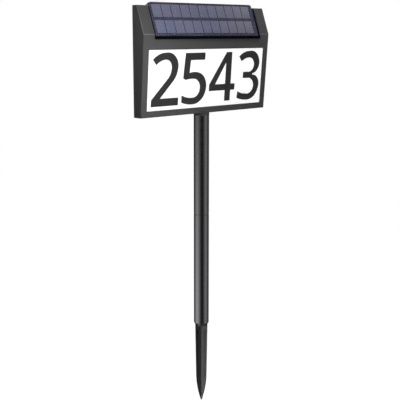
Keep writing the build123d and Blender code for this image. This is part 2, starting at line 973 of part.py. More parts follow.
with BuildPart() as board_screws:
    with Locations(*[front_facing(board_front_y, x, z) for x, z in board_hole_spots]):
        add(board_screw.part)
finish(board_screws, "board_screws")

with BuildPart(front_facing(board_front_y, board_right, board_z)) as board_chips:
    with Locations((-9, 1.5, 0)):
        Box(6, 5, 1.5, align=(Align.CENTER, Align.CENTER, Align.MIN))
    with Locations((0, -4, 0)):
        Box(7.4, 7.4, 3.6, align=(Align.CENTER, Align.CENTER, Align.MIN))
    with Locations((9.5, -4, 0)):
        Cylinder(3.2, 6.5, align=(Align.CENTER, Align.CENTER, Align.MIN))
    with Locations((-13, -7, 0), (-17, -7, 0), (7, 6, 0), (4, 6, 0)):
        Box(1.6, 3.2, 0.9, align=(Align.CENTER, Align.CENTER, Align.MIN))
finish(board_chips, "board_chips")

# planes on the board's front face with the origin at a connector's mouth and +Y out of it
battery_mouth_x = board_right - board_width / 3
board_top_z = board_z + board_height / 2
solar_mouth = front_facing(board_front_y, grommet_x, board_top_z)
battery_mouth = front_facing(board_front_y, battery_mouth_x, board_top_z)
strip_mouth = Plane(
    origin=(board_right + board_width / 2, board_front_y, board_z),
    x_dir=(0, 0, -1),
    z_dir=(0, -1, 0),
)
mouths = (solar_mouth, battery_mouth, strip_mouth)


with BuildPart() as board_connectors:
    for mouth in mouths:
        with BuildSketch(mouth):
            with Locations((0, -connector_depth / 2)):
                Rectangle(connector_width, connector_depth)
        extrude(amount=connector_height)
        with BuildSketch(mouth.offset(connector_wall)):
            with Locations((0, -(connector_depth - connector_wall) / 2)):
                Rectangle(
                    connector_width - 2 * connector_wall, connector_depth - connector_wall
                )
        extrude(amount=connector_height - 2 * connector_wall, mode=Mode.SUBTRACT)
finish(board_connectors, "board_connectors")

with BuildPart() as lead_plugs:
    for mouth in mouths:
        with BuildSketch(mouth.offset(connector_wall + glue_gap)):
            with Locations((0, plug_reach)):
                Rectangle(
                    connector_width - 2 * (connector_wall + glue_gap),
                    connector_depth - connector_wall + plug_reach - glue_gap,
                    align=(Align.CENTER, Align.MAX),
                )
        extrude(amount=connector_height - 2 * (connector_wall + glue_gap))
finish(lead_plugs, "lead_plugs")

switch_top_y = board_back_y + switch_height
with BuildPart() as switch_body:
    with BuildSketch(rear_facing(board_back_y, board_right, board_z)):
        RectangleRounded(switch_side, switch_side, switch_corner)
    extrude(amount=switch_height)
    with Locations(rear_facing(switch_top_y, board_right, board_z)):
        Hole(radius=plunger_radius + plunger_gap, depth=plunger_bore_depth)
finish(switch_body, "switch_body")

with BuildPart() as button_seal:
    with BuildSketch(front_facing(inner_back_y, board_right, board_z)):
        Circle(button_seal_outer)
        Circle(button_seal_inner, mode=Mode.SUBTRACT)
    extrude(amount=button_seal_thickness)
finish(button_seal, "button_seal")

flange_back_y = inner_back_y - button_seal_thickness
flange_front_y = flange_back_y - button_flange_thickness
with BuildPart() as power_button:
    with BuildSketch(front_facing(flange_back_y, board_right, board_z)):
        Circle(button_flange_radius)
    extrude(amount=button_flange_thickness)
    button_end_y = back_y + button_collar_height + button_stand_out
    with BuildSketch(rear_facing(flange_back_y, board_right, board_z)):
        Circle(button_radius)
    extrude(amount=button_end_y - flange_back_y)
    button_rim = power_button.edges().group_by(Axis.Y)[-1]
    fillet(button_rim, button_round)
finish(power_button, "power_button")

with BuildPart() as switch_plunger:
    with BuildSketch(front_facing(flange_front_y, board_right, board_z)):
        Circle(plunger_radius)
    plunger_end_y = switch_top_y - plunger_bore_depth + button_travel + switch_clearance / 2
    extrude(amount=flange_front_y - plunger_end_y)
finish(switch_plunger, "switch_plunger")

# --- Battery -------------------------------------------------------------------------------------

battery_z = head_z + battery_above_foot
cell_axis_depth = holder_base + holder_play + cell_radius
cell_axis_y = inner_back_y - cell_axis_depth
holder_length = cell_length + nub_height + spring_length + 2 * (contact_thickness + holder_wall)
holder_height = 2 * (cell_radius + holder_play + holder_wall)
holder_left_x = battery_right - holder_length / 2
holder_right_x = battery_right + holder_length / 2
cell_right_x = holder_right_x - holder_wall - contact_thickness - nub_height
cell_left_x = cell_right_x - cell_length

with BuildPart() as battery_holder:
    with BuildSketch(front_facing(inner_back_y, battery_right, battery_z)):
        RectangleRounded(holder_length, holder_height, holder_corner)
    extrude(amount=holder_depth)
    with BuildSketch(Plane.YZ.offset(holder_left_x + holder_wall)):
        with Locations((cell_axis_y, battery_z)):
            Circle(cell_radius + holder_play)
            Rectangle(
                holder_depth,
                2 * (cell_radius + holder_play),
                align=(Align.MAX, Align.CENTER),
            )
    extrude(amount=holder_length - 2 * holder_wall, mode=Mode.SUBTRACT)
finish(battery_holder, "battery_holder")

with BuildPart() as battery_cell:
    with BuildSketch(Plane.YZ.offset(cell_left_x)):
        with Locations((cell_axis_y, battery_z)):
            Circle(cell_radius)
    extrude(amount=cell_length)
    fillet(battery_cell.edges(), cell_round)
    with BuildSketch(Plane.YZ.offset(cell_right_x)):
        with Locations((cell_axis_y, battery_z)):
            Circle(nub_radius)
    extrude(amount=nub_height)
finish(battery_cell, "battery_cell")

contact_faces_x = (
    holder_left_x + holder_wall,
    holder_right_x - holder_wall - contact_thickness,
)
contact_reach = holder_depth + contact_tab_reach - cell_axis_depth
with BuildPart() as battery_contacts:
    for contact_x in contact_faces_x:
        with BuildSketch(Plane.YZ.offset(contact_x)):
            with Locations((cell_axis_y, battery_z)):
                Rectangle(contact_side, contact_side)
                Rectangle(
                    contact_reach,
                    contact_tab_width,
                    align=(Align.MAX, Align.CENTER),
                )
        extrude(amount=contact_thickness)
finish(battery_contacts, "battery_contacts")

spring_start_x = contact_faces_x[0] + contact_thickness + spring_wire
spring_run = spring_length - 2 * spring_wire
with BuildPart() as battery_spring:
    with BuildLine():
        coil = Helix(
            pitch=spring_run / spring_turns,
            height=spring_run,
            radius=spring_radius,
            center=(spring_start_x, cell_axis_y, battery_z),
            direction=(1, 0, 0),
        )
    with BuildSketch(Plane(origin=coil @ 0, z_dir=coil % 0)):
        Circle(spring_wire)
    sweep(is_frenet=True)
finish(battery_spring, "battery_spring")

# --- Leads ---------------------------------------------------------------------------------------


def corner_radii(points):
    """Arc radius at each inner point of a route: as large as its two runs allow."""
    corners = [Vector(*point) for point in points]
    radii = []
    for before, corner, after in zip(corners, corners[1:], corners[2:]):
        turn = (corner - before).get_angle(after - corner)
        shorter = min((corner - before).length, (after - corner).length)
        radii.append(round(0.45 * shorter / tan(radians(turn) / 2), 2))
    return radii


lead_y = board_front_y - connector_height / 2
plug_end_z = board_top_z + plug_reach
# the solar leads rise to where they meet the grommet's axis, then follow it out
grommet_outside = slope_plane.from_local_coords((0, grommet_up_slope, laminate_foot))
grommet_run = (lead_y - grommet_outside.Y) * slope_length / slope_rise
grommet_bend = slope_plane.from_local_coords((0, grommet_up_slope, laminate_foot - grommet_run))
solar_routes = []
for side in (-1, 1):
    solar_x = grommet_x + side * lead_spacing / 2
    solar_routes.append(
        [
            (solar_x, lead_y, plug_end_z),
            (solar_x, grommet_bend.Y, grommet_bend.Z),
            (solar_x, grommet_outside.Y, grommet_outside.Z),
        ]
    )
with BuildPart() as solar_leads:
    for points in solar_routes:
        with BuildLine():
            route = FilletPolyline(*points, radius=corner_radii(points))
        with BuildSketch(Plane(origin=route @ 0, z_dir=route % 0)):
            Circle(lead_radius)
        sweep()
        print("solar lead", round(route.length, 1), "mm, arcs", corner_radii(points))
finish(solar_leads, "solar_leads")

red_x = battery_mouth_x - lead_spacing / 2
black_x = battery_mouth_x + lead_spacing / 2
left_tab_x = contact_faces_x[0] + contact_thickness / 2
right_tab_x = contact_faces_x[1] + contact_thickness / 2
tab_y = inner_back_y - holder_depth - contact_tab_reach / 2
tab_top_z = battery_z + contact_tab_width / 2
battery_routes = [
    [
        (red_x, lead_y, plug_end_z),
        (red_x, lead_y, plug_end_z + 9),
        (red_x - 10, lead_y - 0.5, plug_end_z + 13),
        (red_x - 26, lead_y - 1.2, plug_end_z + 10),
        (right_tab_x, tab_y, plug_end_z + 2),
        (right_tab_x, tab_y, tab_top_z),
    ],
    [
        (black_x, lead_y, plug_end_z),
        (black_x, lead_y, plug_end_z + 12),
        (black_x - 12, lead_y + 1.7, plug_end_z + 17.5),
        (black_x - 35, lead_y + 2.2, plug_end_z + 19),
        (black_x - 62, lead_y + 2.2, plug_end_z + 17.5),
        (black_x - 86, lead_y + 0.7, plug_end_z + 13.5),
        (left_tab_x + 7, tab_y + 2.3, plug_end_z + 6),
        (left_tab_x, tab_y, plug_end_z - 4),
        (left_tab_x, tab_y, tab_top_z),
    ],
]
with BuildPart() as battery_leads:
    for points in battery_routes:
        with BuildLine():
            route = FilletPolyline(*points, radius=corner_radii(points))
        with BuildSketch(Plane(origin=route @ 0, z_dir=route % 0)):
            Circle(lead_radius)
        sweep()
        print("battery lead", round(route.length, 1), "mm, arcs", corner_radii(points))
finish(battery_leads, "battery_leads")

strip_plug_x = board_right + board_width / 2 + plug_reach
strip_pad_up = tray_top + led_board_thickness
strip_routes = []
for side in (-1, 1):
    strip_z = board_z + side * lead_spacing / 2
    strip_x = strip_plug_x + 18 + side * lead_spacing / 2
    strip_rise = 7.5 + side * lead_spacing / 2
    strip_pad = face_plane.from_local_coords((strip_x, strip_pad_up, led_row_depth))
    strip_bend = face_plane.from_local_coords((strip_x, strip_pad_up + strip_rise, led_row_depth))
    strip_routes.append(
        [
            (strip_plug_x, lead_y, strip_z),
            (strip_plug_x + 9, lead_y, strip_z),
            tuple(strip_bend),
            tuple(strip_pad),
        ]
    )
with BuildPart() as strip_leads:
    for points in strip_routes:
        with BuildLine():
            route = FilletPolyline(*points, radius=corner_radii(points))
        with BuildSketch(Plane(origin=route @ 0, z_dir=route % 0)):
            Circle(lead_radius)
        sweep()
        print("light strip lead", round(route.length, 1), "mm, arcs", corner_radii(points))
finish(strip_leads, "strip_leads")

# --- Bracket behind the casing and the cap that it slides over ----------------------------------------

tongue_front_y = back_y + tongue_gap
tongue_back_y = tongue_front_y + tongue_thickness
pocket_back_y = tongue_back_y + tongue_gap
with BuildPart() as stake_bracket:
    with BuildSketch(rear_facing(back_y, z=head_z)):
        Rectangle(
            2 * (bracket_half_width + bracket_ear_width),
            bracket_height,
            align=(Align.CENTER, Align.MIN),
        )
    extrude(amount=bracket_ear_thickness)
    with BuildSketch(rear_facing(back_y, z=head_z)):
        Rectangle(2 * bracket_half_width, bracket_height, align=(Align.CENTER, Align.MIN))
    extrude(amount=pocket_back_y + bracket_wall - back_y)
    upright_edges = stake_bracket.edges().filter_by(Axis.Z).group_by(Axis.Y)[-1]
    fillet(upright_edges, bracket_wall / 2)
    with BuildSketch(rear_facing(back_y, z=head_z)):
        Rectangle(
            2 * pocket_half_width,
            tongue_height + bracket_headroom,
            align=(Align.CENTER, Align.MIN),
        )
    extrude(amount=pocket_back_y - back_y, mode=Mode.SUBTRACT)
    ear_back_y = back_y + bracket_ear_thickness
    with Locations(*[rear_facing(ear_back_y, x, z) for x, z in bracket_screw_spots]):
        Hole(radius=shank_hole_radius, depth=bracket_ear_thickness)
finish(stake_bracket, "stake_bracket")

with BuildPart() as bracket_screws:
    with Locations(*[rear_facing(ear_back_y, x, z) for x, z in bracket_screw_spots]):
        add(bracket_screw.part)
finish(bracket_screws, "bracket_screws")

with BuildPart() as pole_cap:
    with BuildSketch(Plane.XY.offset(cap_foot_z)):
        Circle(pole_radius + cap_collar_step)
    extrude(amount=cap_collar_height)
    with BuildSketch(Plane.XY.offset(cap_foot_z)):
        Circle(pole_inner - glue_gap)
        Circle(pole_inner - glue_gap - plug_wall, mode=Mode.SUBTRACT)
    extrude(amount=-cap_plug_length)
    plug_foot = pole_cap.edges().group_by(Axis.Z)[0].sort_by(SortBy.LENGTH)[-1]
    chamfer(plug_foot, plug_chamfer)
    tongue_middle_y = (tongue_front_y + tongue_back_y) / 2
    with BuildSketch(Plane.XY.offset(head_z)):
        with Locations((0, tongue_middle_y)):
            Rectangle(tongue_width, tongue_thickness)
    extrude(amount=tongue_height)
    tongue_tip = pole_cap.edges().group_by(Axis.Z)[-1]
    chamfer(tongue_tip, tongue_chamfer)
finish(pole_cap, "pole_cap")

# --- Pole ----------------------------------------------------------------------------------------

with BuildPart() as upper_pole:
    with BuildSketch(Plane.XY.offset(ring_top_z)):
        Circle(pole_radius)
        Circle(pole_inner, mode=Mode.SUBTRACT)
    extrude(amount=upper_pole_length)
finish(upper_pole, "upper_pole")

with BuildPart() as pole_coupler:
    coupler_plug_radius = pole_inner - turning_gap
    with BuildSketch(Plane.XY.offset(ring_foot_z - coupler_plug_length)):
        Circle(coupler_plug_radius)
    extrude(amount=2 * coupler_plug_length + coupler_ring_height)
    plug_ends = pole_coupler.edges().filter_by(GeomType.CIRCLE)
    chamfer(plug_ends, plug_chamfer)
    with BuildSketch(Plane.XY.offset(ring_foot_z)):
        Circle(pole_radius - coupler_ring_step)
    extrude(amount=coupler_ring_height)
    with BuildSketch(Plane.XY.offset(ring_foot_z - coupler_plug_length)):
        Circle(coupler_plug_radius - plug_wall)
    extrude(amount=2 * coupler_plug_length + coupler_ring_height, mode=Mode.SUBTRACT)
finish(pole_coupler, "pole_coupler")

with BuildPart() as lower_pole:
    with BuildSketch(Plane.XZ):
        with BuildLine():
            Polyline(
                (pole_radius, lower_pole_length),
                (pole_radius, pole_end_taper),
                (pole_end_radius, 0),
                (pole_end_opening, 0),
                (pole_end_opening, pole_wall),
                (pole_inner, pole_end_taper + pole_wall / 2),
                (pole_inner, lower_pole_length),
                close=True,
            )
        make_face()
    revolve(axis=Axis.Z)
finish(lower_pole, "lower_pole")

socket_foot_z = pole_end_taper + pole_wall / 2
with BuildPart() as spike_socket:
    with BuildSketch(Plane.XY.offset(socket_foot_z)):
        Circle(pole_inner - glue_gap)
        Circle(spigot_radius + turning_gap, mode=Mode.SUBTRACT)
    extrude(amount=socket_length)
finish(spike_socket, "spike_socket")

# --- Ground spike ----------------------------------------------------------------------------------


spike_half_outline = [
    (spike_side / 2, 0),
    (spike_waist_side / 2, -spike_waist_depth),
    (
        spike_bulge_side / 2,
        -spike_bulge_depth,
        spike_tip_side / 2,
        -spike_length,
    ),
    (0, -spike_length),
    (0, 0),
]

with BuildPart() as ground_spike:
    with BuildSketch(Plane.XZ):
        with BuildLine():
            trace((0, 0), spike_half_outline)
        make_face()
        mirror(about=Plane.YZ)
    extrude(amount=spike_side, both=True)
    with BuildSketch(Plane.YZ):
        with BuildLine():
            trace((0, 0), spike_half_outline)
        make_face()
        mirror(about=Plane.YZ)
    extrude(amount=spike_side, both=True, mode=Mode.INTERSECT)
    # flutes, one in each side, that run out where the bar narrows
    flute_floor = spike_side / 2 - spike_flute_depth
    flute_middle_z = -spike_flute_top - spike_flute_length / 2
    for turn in (0, 90, 180, 270):
        flute_side = Plane.XZ.rotated((0, 0, turn)).offset(flute_floor)
        with BuildSketch(flute_side):
            with Locations((0, flute_middle_z)):
                SlotOverall(spike_flute_length, spike_flute_width, rotation=90)
        extrude(amount=2 * spike_flute_depth, mode=Mode.SUBTRACT)
    with BuildSketch(Plane.XY):
        Circle(pole_end_radius)
    extrude(amount=-spike_shoulder_height)
    with BuildSketch(Plane.XY):
        Circle(spigot_radius)
    extrude(amount=spigot_length)
    spigot_tip = ground_spike.edges().group_by(Axis.Z)[-1]
    chamfer(spigot_tip, plug_chamfer)
finish(ground_spike, "ground_spike")
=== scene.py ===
"""Looks of the solar house number sign: finishes, studio and camera.

Lengths are metres in the frame of the CAD part, unless a name ends in _mm. +X runs to the right as
the sign is read, +Y back and +Z up.
"""

from __future__ import annotations

import json
import logging
import math
from dataclasses import dataclass
from enum import Enum

import bmesh
import bpy
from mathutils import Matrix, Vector

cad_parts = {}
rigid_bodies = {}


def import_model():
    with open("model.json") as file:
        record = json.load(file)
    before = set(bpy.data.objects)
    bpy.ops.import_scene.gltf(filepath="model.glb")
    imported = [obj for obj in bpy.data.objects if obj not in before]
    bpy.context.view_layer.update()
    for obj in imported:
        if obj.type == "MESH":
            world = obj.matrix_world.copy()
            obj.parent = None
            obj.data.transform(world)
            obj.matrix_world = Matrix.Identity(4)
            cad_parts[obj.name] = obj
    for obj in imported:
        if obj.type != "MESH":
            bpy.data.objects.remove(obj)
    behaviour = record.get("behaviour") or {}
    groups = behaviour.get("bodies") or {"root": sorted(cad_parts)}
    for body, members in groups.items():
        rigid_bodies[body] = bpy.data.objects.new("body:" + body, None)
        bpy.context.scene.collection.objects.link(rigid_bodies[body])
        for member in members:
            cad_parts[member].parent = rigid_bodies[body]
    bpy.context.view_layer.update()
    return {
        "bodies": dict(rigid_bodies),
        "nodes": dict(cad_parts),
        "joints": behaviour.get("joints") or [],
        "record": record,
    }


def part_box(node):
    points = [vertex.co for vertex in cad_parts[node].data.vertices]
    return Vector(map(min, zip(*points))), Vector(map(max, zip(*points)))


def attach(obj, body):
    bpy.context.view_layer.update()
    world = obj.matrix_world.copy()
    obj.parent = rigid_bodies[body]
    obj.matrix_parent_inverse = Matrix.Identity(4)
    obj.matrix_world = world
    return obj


LOG = logging.getLogger("house_sign")
MM = 0.001
WHITE = "#ffffff"

# The sRGB curve: a straight foot up to the knee, and a power above it.
SRGB_KNEE = 0.04045
SRGB_FOOT = 12.92
SRGB_OFFSET = 0.055
SRGB_SCALE = 1.055
SRGB_POWER = 2.4

# Nearly all values of a noise lie between these two.
NOISE_LOW = 0.25
NOISE_HIGH = 0.75

# Finer layers in the noise of the shade, the grain, the drawn-out marks and the roughness.
SHADE_LAYERS = 3.0
GRAIN_LAYERS = 2.0
MARK_LAYERS = 3.0
GLOSS_LAYERS = 4.0

LOWEST_ROUGHNESS = 0.02
EDGE_SAMPLES = 4

Colour = tuple[float, float, float, float]
Place = tuple[float, float, float]
Stops = tuple[tuple[float, float], ...]
Mesh = bmesh.types.BMesh
Tree = bpy.types.NodeTree
Node = bpy.types.Node
Socket = bpy.types.NodeSocket


# --- Colours, nodes and ramps --------------------------------------------------------------------


def linear(colour: str) -> Colour:
    """Turn an sRGB hex colour into linear light.

    Args:
        colour: Six hex digits after a hash, as in "#4b4b4c".

    Returns:
        Linear red, green and blue, and an alpha of 1.
    """
    channels = [int(colour[start : start + 2], 16) / 255 for start in (1, 3, 5)]
    red, green, blue = (
        value / SRGB_FOOT
        if value <= SRGB_KNEE
        else ((value + SRGB_OFFSET) / SRGB_SCALE) ** SRGB_POWER
        for value in channels
    )
    return (red, green, blue, 1.0)


def add_node(
    tree: Tree,
    kind: str,
    settings: dict[str, object] | None = None,
    inputs: dict[str | int, object] | None = None,
) -> Node:
    """Add a node, set its options and fill or link its inputs.

    Args:
        tree: Tree that takes the node.
        kind: Blender's name of the node's type.
        settings: Options of the node by their attribute names.
        inputs: Constants or output sockets by the name or number of the input that takes them.

    Returns:
        The new node.
    """
    node = tree.nodes.new(kind)
    for name, value in (settings or {}).items():
        setattr(node, name, value)
    for key, value in (inputs or {}).items():
        if isinstance(value, Socket):
            tree.links.new(value, node.inputs[key])
        else:
            node.inputs[key].default_value = value
    return node


def empty_tree(owner: bpy.types.Material | bpy.types.World) -> Tree:
    """Turn on the nodes of a new material or world and clear them.

    Args:
        owner: The material or world.

    Returns:
        Its node tree, with nothing in it.
    """
    owner.use_nodes = True
    owner.node_tree.nodes.clear()
    return owner.node_tree


def set_stops(ramp: bpy.types.ColorRamp, stops: Stops) -> None:
    """Give a grey ramp its stops, with a smooth curve between them.

    Args:
        ramp: Ramp that takes the stops.
        stops: Pairs of a place on the ramp, from 0 to 1, and the level there, in order.
    """
    ramp.interpolation = "B_SPLINE"
    while len(ramp.elements) < len(stops):
        ramp.elements.new(1.0)
    for element, (spot, level) in zip(ramp.elements, stops):
        element.position = spot
        element.color = (level, level, level, 1.0)


def pitch(size_mm: float) -> float:
    """Scale of a texture whose features are this many millimetres apart."""
    return 1.0 / (size_mm * MM)


# --- Finishes ------------------------------------------------------------------------------------


@dataclass(frozen=True)
class Finish:
    """A solid material with a fine grain, a slow change of shade and softened edges.

    Attributes:
        name: The real material and how its surface was made.
        colour: Its sRGB colour.
        roughness: Roughness at the middle of its spread.
        roughness_spread: How far the roughness strays over the surface.
        roughness_mm: Distance over which the roughness drifts.
        ior: Index of refraction.
        specular: Strength of the surface's own reflection, 0.5 for the bare index.
        metallic: 1 for bare metal.
        coat: Weight of a clear coat.
        coat_roughness: Roughness of that coat.
        grain_mm: Distance between the grain's bumps.
        grain_depth_mm: Height of the bumps.
        shade_mm: Distance over which the shade drifts.
        shade_share: How much darker the drift gets.
        edge_mm: Radius that the light sees on sharp edges.
    """

    name: str
    colour: str
    roughness: float = 0.5
    roughness_spread: float = 0.06
    roughness_mm: float = 6.0
    ior: float = 1.5
    specular: float = 0.5
    metallic: float = 0.0
    coat: float = 0.0
    coat_roughness: float = 0.08
    grain_mm: float = 0.8
    grain_depth_mm: float = 0.02
    shade_mm: float = 40.0
    shade_share: float = 0.08
    edge_mm: float = 0.0

    def place(self, tree: Tree) -> Socket:
        """Coordinates of the surface in the part's own frame."""
        return add_node(tree, "ShaderNodeTexCoord").outputs["Object"]

    def drift(self, tree: Tree, place: Socket, size_mm: float, layers: float) -> Socket:
        """Slow noise over the surface.

        Args:
            tree: Tree that takes the nodes.
            place: Coordinates that the noise is read at.
            size_mm: Distance over which it changes.
            layers: Number of finer layers.

        Returns:
            The noise, from 0 to 1.
        """
        noise = add_node(
            tree,
            "ShaderNodeTexNoise",
            inputs={"Vector": place, "Scale": pitch(size_mm), "Detail": layers},
        )
        return noise.outputs["Fac"]

    def shade(self, tree: Tree, place: Socket) -> Socket:
        """Colour of the surface with its slow drift of shade.

        Args:
            tree: Tree that takes the nodes.
            place: Coordinates of the surface.

        Returns:
            The colour.
        """
        dark = tuple(value * (1 - self.shade_share) for value in linear(self.colour)[:3])
        mix = add_node(
            tree,
            "ShaderNodeMix",
            {"data_type": "RGBA"},
            {
                "Factor": self.drift(tree, place, self.shade_mm, SHADE_LAYERS),
                "A": (*dark, 1.0),
                "B": linear(self.colour),
            },
        )
        return mix.outputs["Result"]

    def relief(self, tree: Tree, place: Socket) -> Socket:
        """Height of the grain, from 0 to 1."""
        return self.drift(tree, place, self.grain_mm, GRAIN_LAYERS)

    def normal(self, tree: Tree, place: Socket) -> Socket:
        """Normal with the grain on it and the sharp edges softened.

        Args:
            tree: Tree that takes the nodes.
            place: Coordinates of the surface.

        Returns:
            The normal.
        """
        inputs: dict[str | int, object] = {
            "Height": self.relief(tree, place),
            "Strength": 1.0,
            "Distance": self.grain_depth_mm * MM,
        }
        if self.edge_mm:
            soft = add_node(
                tree, "ShaderNodeBevel", {"samples": EDGE_SAMPLES}, {"Radius": self.edge_mm * MM}
            )
            inputs["Normal"] = soft.outputs["Normal"]
        return add_node(tree, "ShaderNodeBump", inputs=inputs).outputs["Normal"]

    def gloss(self, tree: Tree, place: Socket) -> Socket:
        """Roughness with its spread over the surface."""
        spread = add_node(
            tree,
            "ShaderNodeMapRange",
            inputs={
                "Value": self.drift(tree, place, self.roughness_mm, GLOSS_LAYERS),
                "From Min": NOISE_LOW,
                "From Max": NOISE_HIGH,
                "To Min": max(self.roughness - self.roughness_spread, LOWEST_ROUGHNESS),
                "To Max": min(self.roughness + self.roughness_spread, 1.0),
            },
        )
        return spread.outputs["Result"]

    def surface(self, tree: Tree) -> Node:
        """Shader of the whole finish."""
        place = self.place(tree)
        return add_node(
            tree,
            "ShaderNodeBsdfPrincipled",
            inputs={
                "Base Color": self.shade(tree, place),
                "Roughness": self.gloss(tree, place),
                "Normal": self.normal(tree, place),
                "IOR": self.ior,
                "Specular IOR Level": self.specular,
                "Metallic": self.metallic,
                "Coat Weight": self.coat,
                "Coat Roughness": self.coat_roughness,
            },
        )

    def build(self) -> bpy.types.Material:
        """Make the material once and share it after that.

        Returns:
            The material of this finish.
        """
        found = bpy.data.materials.get(self.name)
        if found is not None:
            return found
        material = bpy.data.materials.new(self.name)
        tree = empty_tree(material)
        shader = self.surface(tree)
        add_node(tree, "ShaderNodeOutputMaterial", inputs={"Surface": shader.outputs[0]})
        return material

    def dress(self, piece: bpy.types.Object) -> None:
        """Put this finish on a piece in place of what it had."""
        piece.data.materials.clear()
        piece.data.materials.append(self.build())


@dataclass(frozen=True)
class MouldedCasing(Finish):
    """Spark-eroded ABS with a painted highlight: a paler line along the nose and the edges of the
    slope.

    Attributes:
        painted_highlight_colour: Colour of the painted highlight.
        painted_highlight_mm: Reach of the highlight along the nose, up and down from its middle.
        nose_z: Height of that line's middle.
        nose_start: Y of the surface's normal where the line along the nose sets in.
        nose_full: Y of the normal from which that line is at its full strength.
        edge_rise: Strength of the painted highlight along the slope over the Z of the normal. Only
        the slope's rounded edges have a normal that rises by 0.05 to 0.29.
    """

    painted_highlight_colour: str = "#68686a"
    painted_highlight_mm: float = 1.0
    nose_z: float = 0.5285
    nose_start: float = -0.6
    nose_full: float = -0.9
    edge_rise: Stops = (
        (0.0, 0.0),
        (0.01, 0.0),
        (0.05, 1.0),
        (0.29, 1.0),
        (0.32, 0.0),
        (0.335, 0.0),
        (1.0, 0.0),
    )

    def painted_highlight_mask(self, tree: Tree, place: Socket) -> Socket:
        """Where the painted highlights run.

        Args:
            tree: Tree that takes the nodes.
            place: Coordinates of the surface.

        Returns:
            1 on the lines and 0 elsewhere.
        """
        # Painted highlight mask: the slope's up-facing edges and a band along the nose.
        facing = add_node(
            tree,
            "ShaderNodeSeparateXYZ",
            inputs={"Vector": add_node(tree, "ShaderNodeTexCoord").outputs["Normal"]},
        )
        edges = add_node(tree, "ShaderNodeValToRGB", inputs={"Fac": facing.outputs["Z"]})
        set_stops(edges.color_ramp, self.edge_rise)
        height = add_node(tree, "ShaderNodeSeparateXYZ", inputs={"Vector": place}).outputs["Z"]
        rise = add_node(
            tree, "ShaderNodeMath", {"operation": "SUBTRACT"}, {0: height, 1: self.nose_z}
        ).outputs["Value"]
        away = add_node(
            tree, "ShaderNodeMath", {"operation": "ABSOLUTE"}, {0: rise}
        ).outputs["Value"]
        near = add_node(
            tree,
            "ShaderNodeMapRange",
            inputs={
                "Value": away,
                "From Min": self.painted_highlight_mm * MM / 2,
                "From Max": self.painted_highlight_mm * MM,
                "To Min": 1.0,
                "To Max": 0.0,
            },
        ).outputs["Result"]
        front = add_node(
            tree,
            "ShaderNodeMapRange",
            inputs={
                "Value": facing.outputs["Y"],
                "From Min": self.nose_start,
                "From Max": self.nose_full,
            },
        ).outputs["Result"]
        nose = add_node(
            tree, "ShaderNodeMath", {"operation": "MULTIPLY"}, {0: near, 1: front}
        ).outputs["Value"]
        lines = add_node(
            tree, "ShaderNodeMath", {"operation": "MAXIMUM"}, {0: edges.outputs["Color"], 1: nose}
        )
        return lines.outputs["Value"]

    def shade(self, tree: Tree, place: Socket) -> Socket:
        """Body colour with the painted highlights over it."""
        # Painted highlight: paler grey where light catches the nose and the slope's edges.
        mix = add_node(
            tree,
            "ShaderNodeMix",
            {"data_type": "RGBA"},
            {
                "Factor": self.painted_highlight_mask(tree, place),
                "A": super().shade(tree, place),
                "B": linear(self.painted_highlight_colour),
            },
        )
        return mix.outputs["Result"]


@dataclass(frozen=True)
class OpalAcrylic(Finish):
    """Milk-white acrylic sheet lit from behind, a little brighter under the row of lights.

    Attributes:
        glow: Strength of the light that comes out at its brightest.
        foot_z: Height up to which the light is weakest.
        crest_z: Height from which it is brightest.
        foot_share: Share of the light that is left at the foot.
    """

    glow: float = 0.74
    foot_z: float = 0.4
    crest_z: float = 0.5
    foot_share: float = 0.97

    def surface(self, tree: Tree) -> Node:
        """Shader with light coming out of the sheet.

        Args:
            tree: Tree that takes the nodes.

        Returns:
            The shader.
        """
        shader = super().surface(tree)
        height = add_node(
            tree, "ShaderNodeSeparateXYZ", inputs={"Vector": self.place(tree)}
        ).outputs["Z"]
        share = add_node(
            tree,
            "ShaderNodeMapRange",
            inputs={
                "Value": height,
                "From Min": self.foot_z,
                "From Max": self.crest_z,
                "To Min": self.foot_share,
                "To Max": 1.0,
            },
        ).outputs["Result"]
        colour = add_node(
            tree, "ShaderNodeCombineColor", inputs={"Red": share, "Green": share, "Blue": share}
        )
        tree.links.new(colour.outputs["Color"], shader.inputs["Emission Color"])
        shader.inputs["Emission Strength"].default_value = self.glow
        return shader


@dataclass(frozen=True)
class BorderedLaminate(Finish):
    """Glass-fibre laminate: black along its top, and a painted highlight on its left end, which
    faces the light.

    Attributes:
        border_colour: Colour of the black band along the top.
        border_z: Height from which the black band covers the sheet.
        painted_lit_end_colour: Colour of the painted highlight on the left end.
        painted_lit_end_slack: How far the X of the normal may be from that of a face to the left.
    """

    border_colour: str = "#121214"
    border_z: float = 0.5779
    painted_lit_end_colour: str = "#646472"
    painted_lit_end_slack: float = 0.3

    def shade(self, tree: Tree, place: Socket) -> Socket:
        """Body colour with the painted highlight on the left end and the black band at the top.

        Args:
            tree: Tree that takes the nodes.
            place: Coordinates of the surface.

        Returns:
            The colour.
        """
        across = add_node(
            tree,
            "ShaderNodeSeparateXYZ",
            inputs={"Vector": add_node(tree, "ShaderNodeTexCoord").outputs["Normal"]},
        ).outputs["X"]
        # Painted highlight: faces that turn to the left, towards the light, are made paler.
        painted_lit_end = add_node(
            tree,
            "ShaderNodeMath",
            {"operation": "COMPARE"},
            {0: across, 1: -1.0, 2: self.painted_lit_end_slack},
        ).outputs["Value"]
        body = add_node(
            tree,
            "ShaderNodeMix",
            {"data_type": "RGBA"},
            {"Factor": painted_lit_end, "A": super().shade(tree, place), "B": linear(self.painted_lit_end_colour)},
        ).outputs["Result"]
        height = add_node(tree, "ShaderNodeSeparateXYZ", inputs={"Vector": place}).outputs["Z"]
        line = add_node(
            tree, "ShaderNodeMath", {"operation": "GREATER_THAN"}, {0: height, 1: self.border_z}
        ).outputs["Value"]
        mix = add_node(
            tree,
            "ShaderNodeMix",
            {"data_type": "RGBA"},
            {"Factor": line, "A": body, "B": linear(self.border_colour)},
        )
        return mix.outputs["Result"]


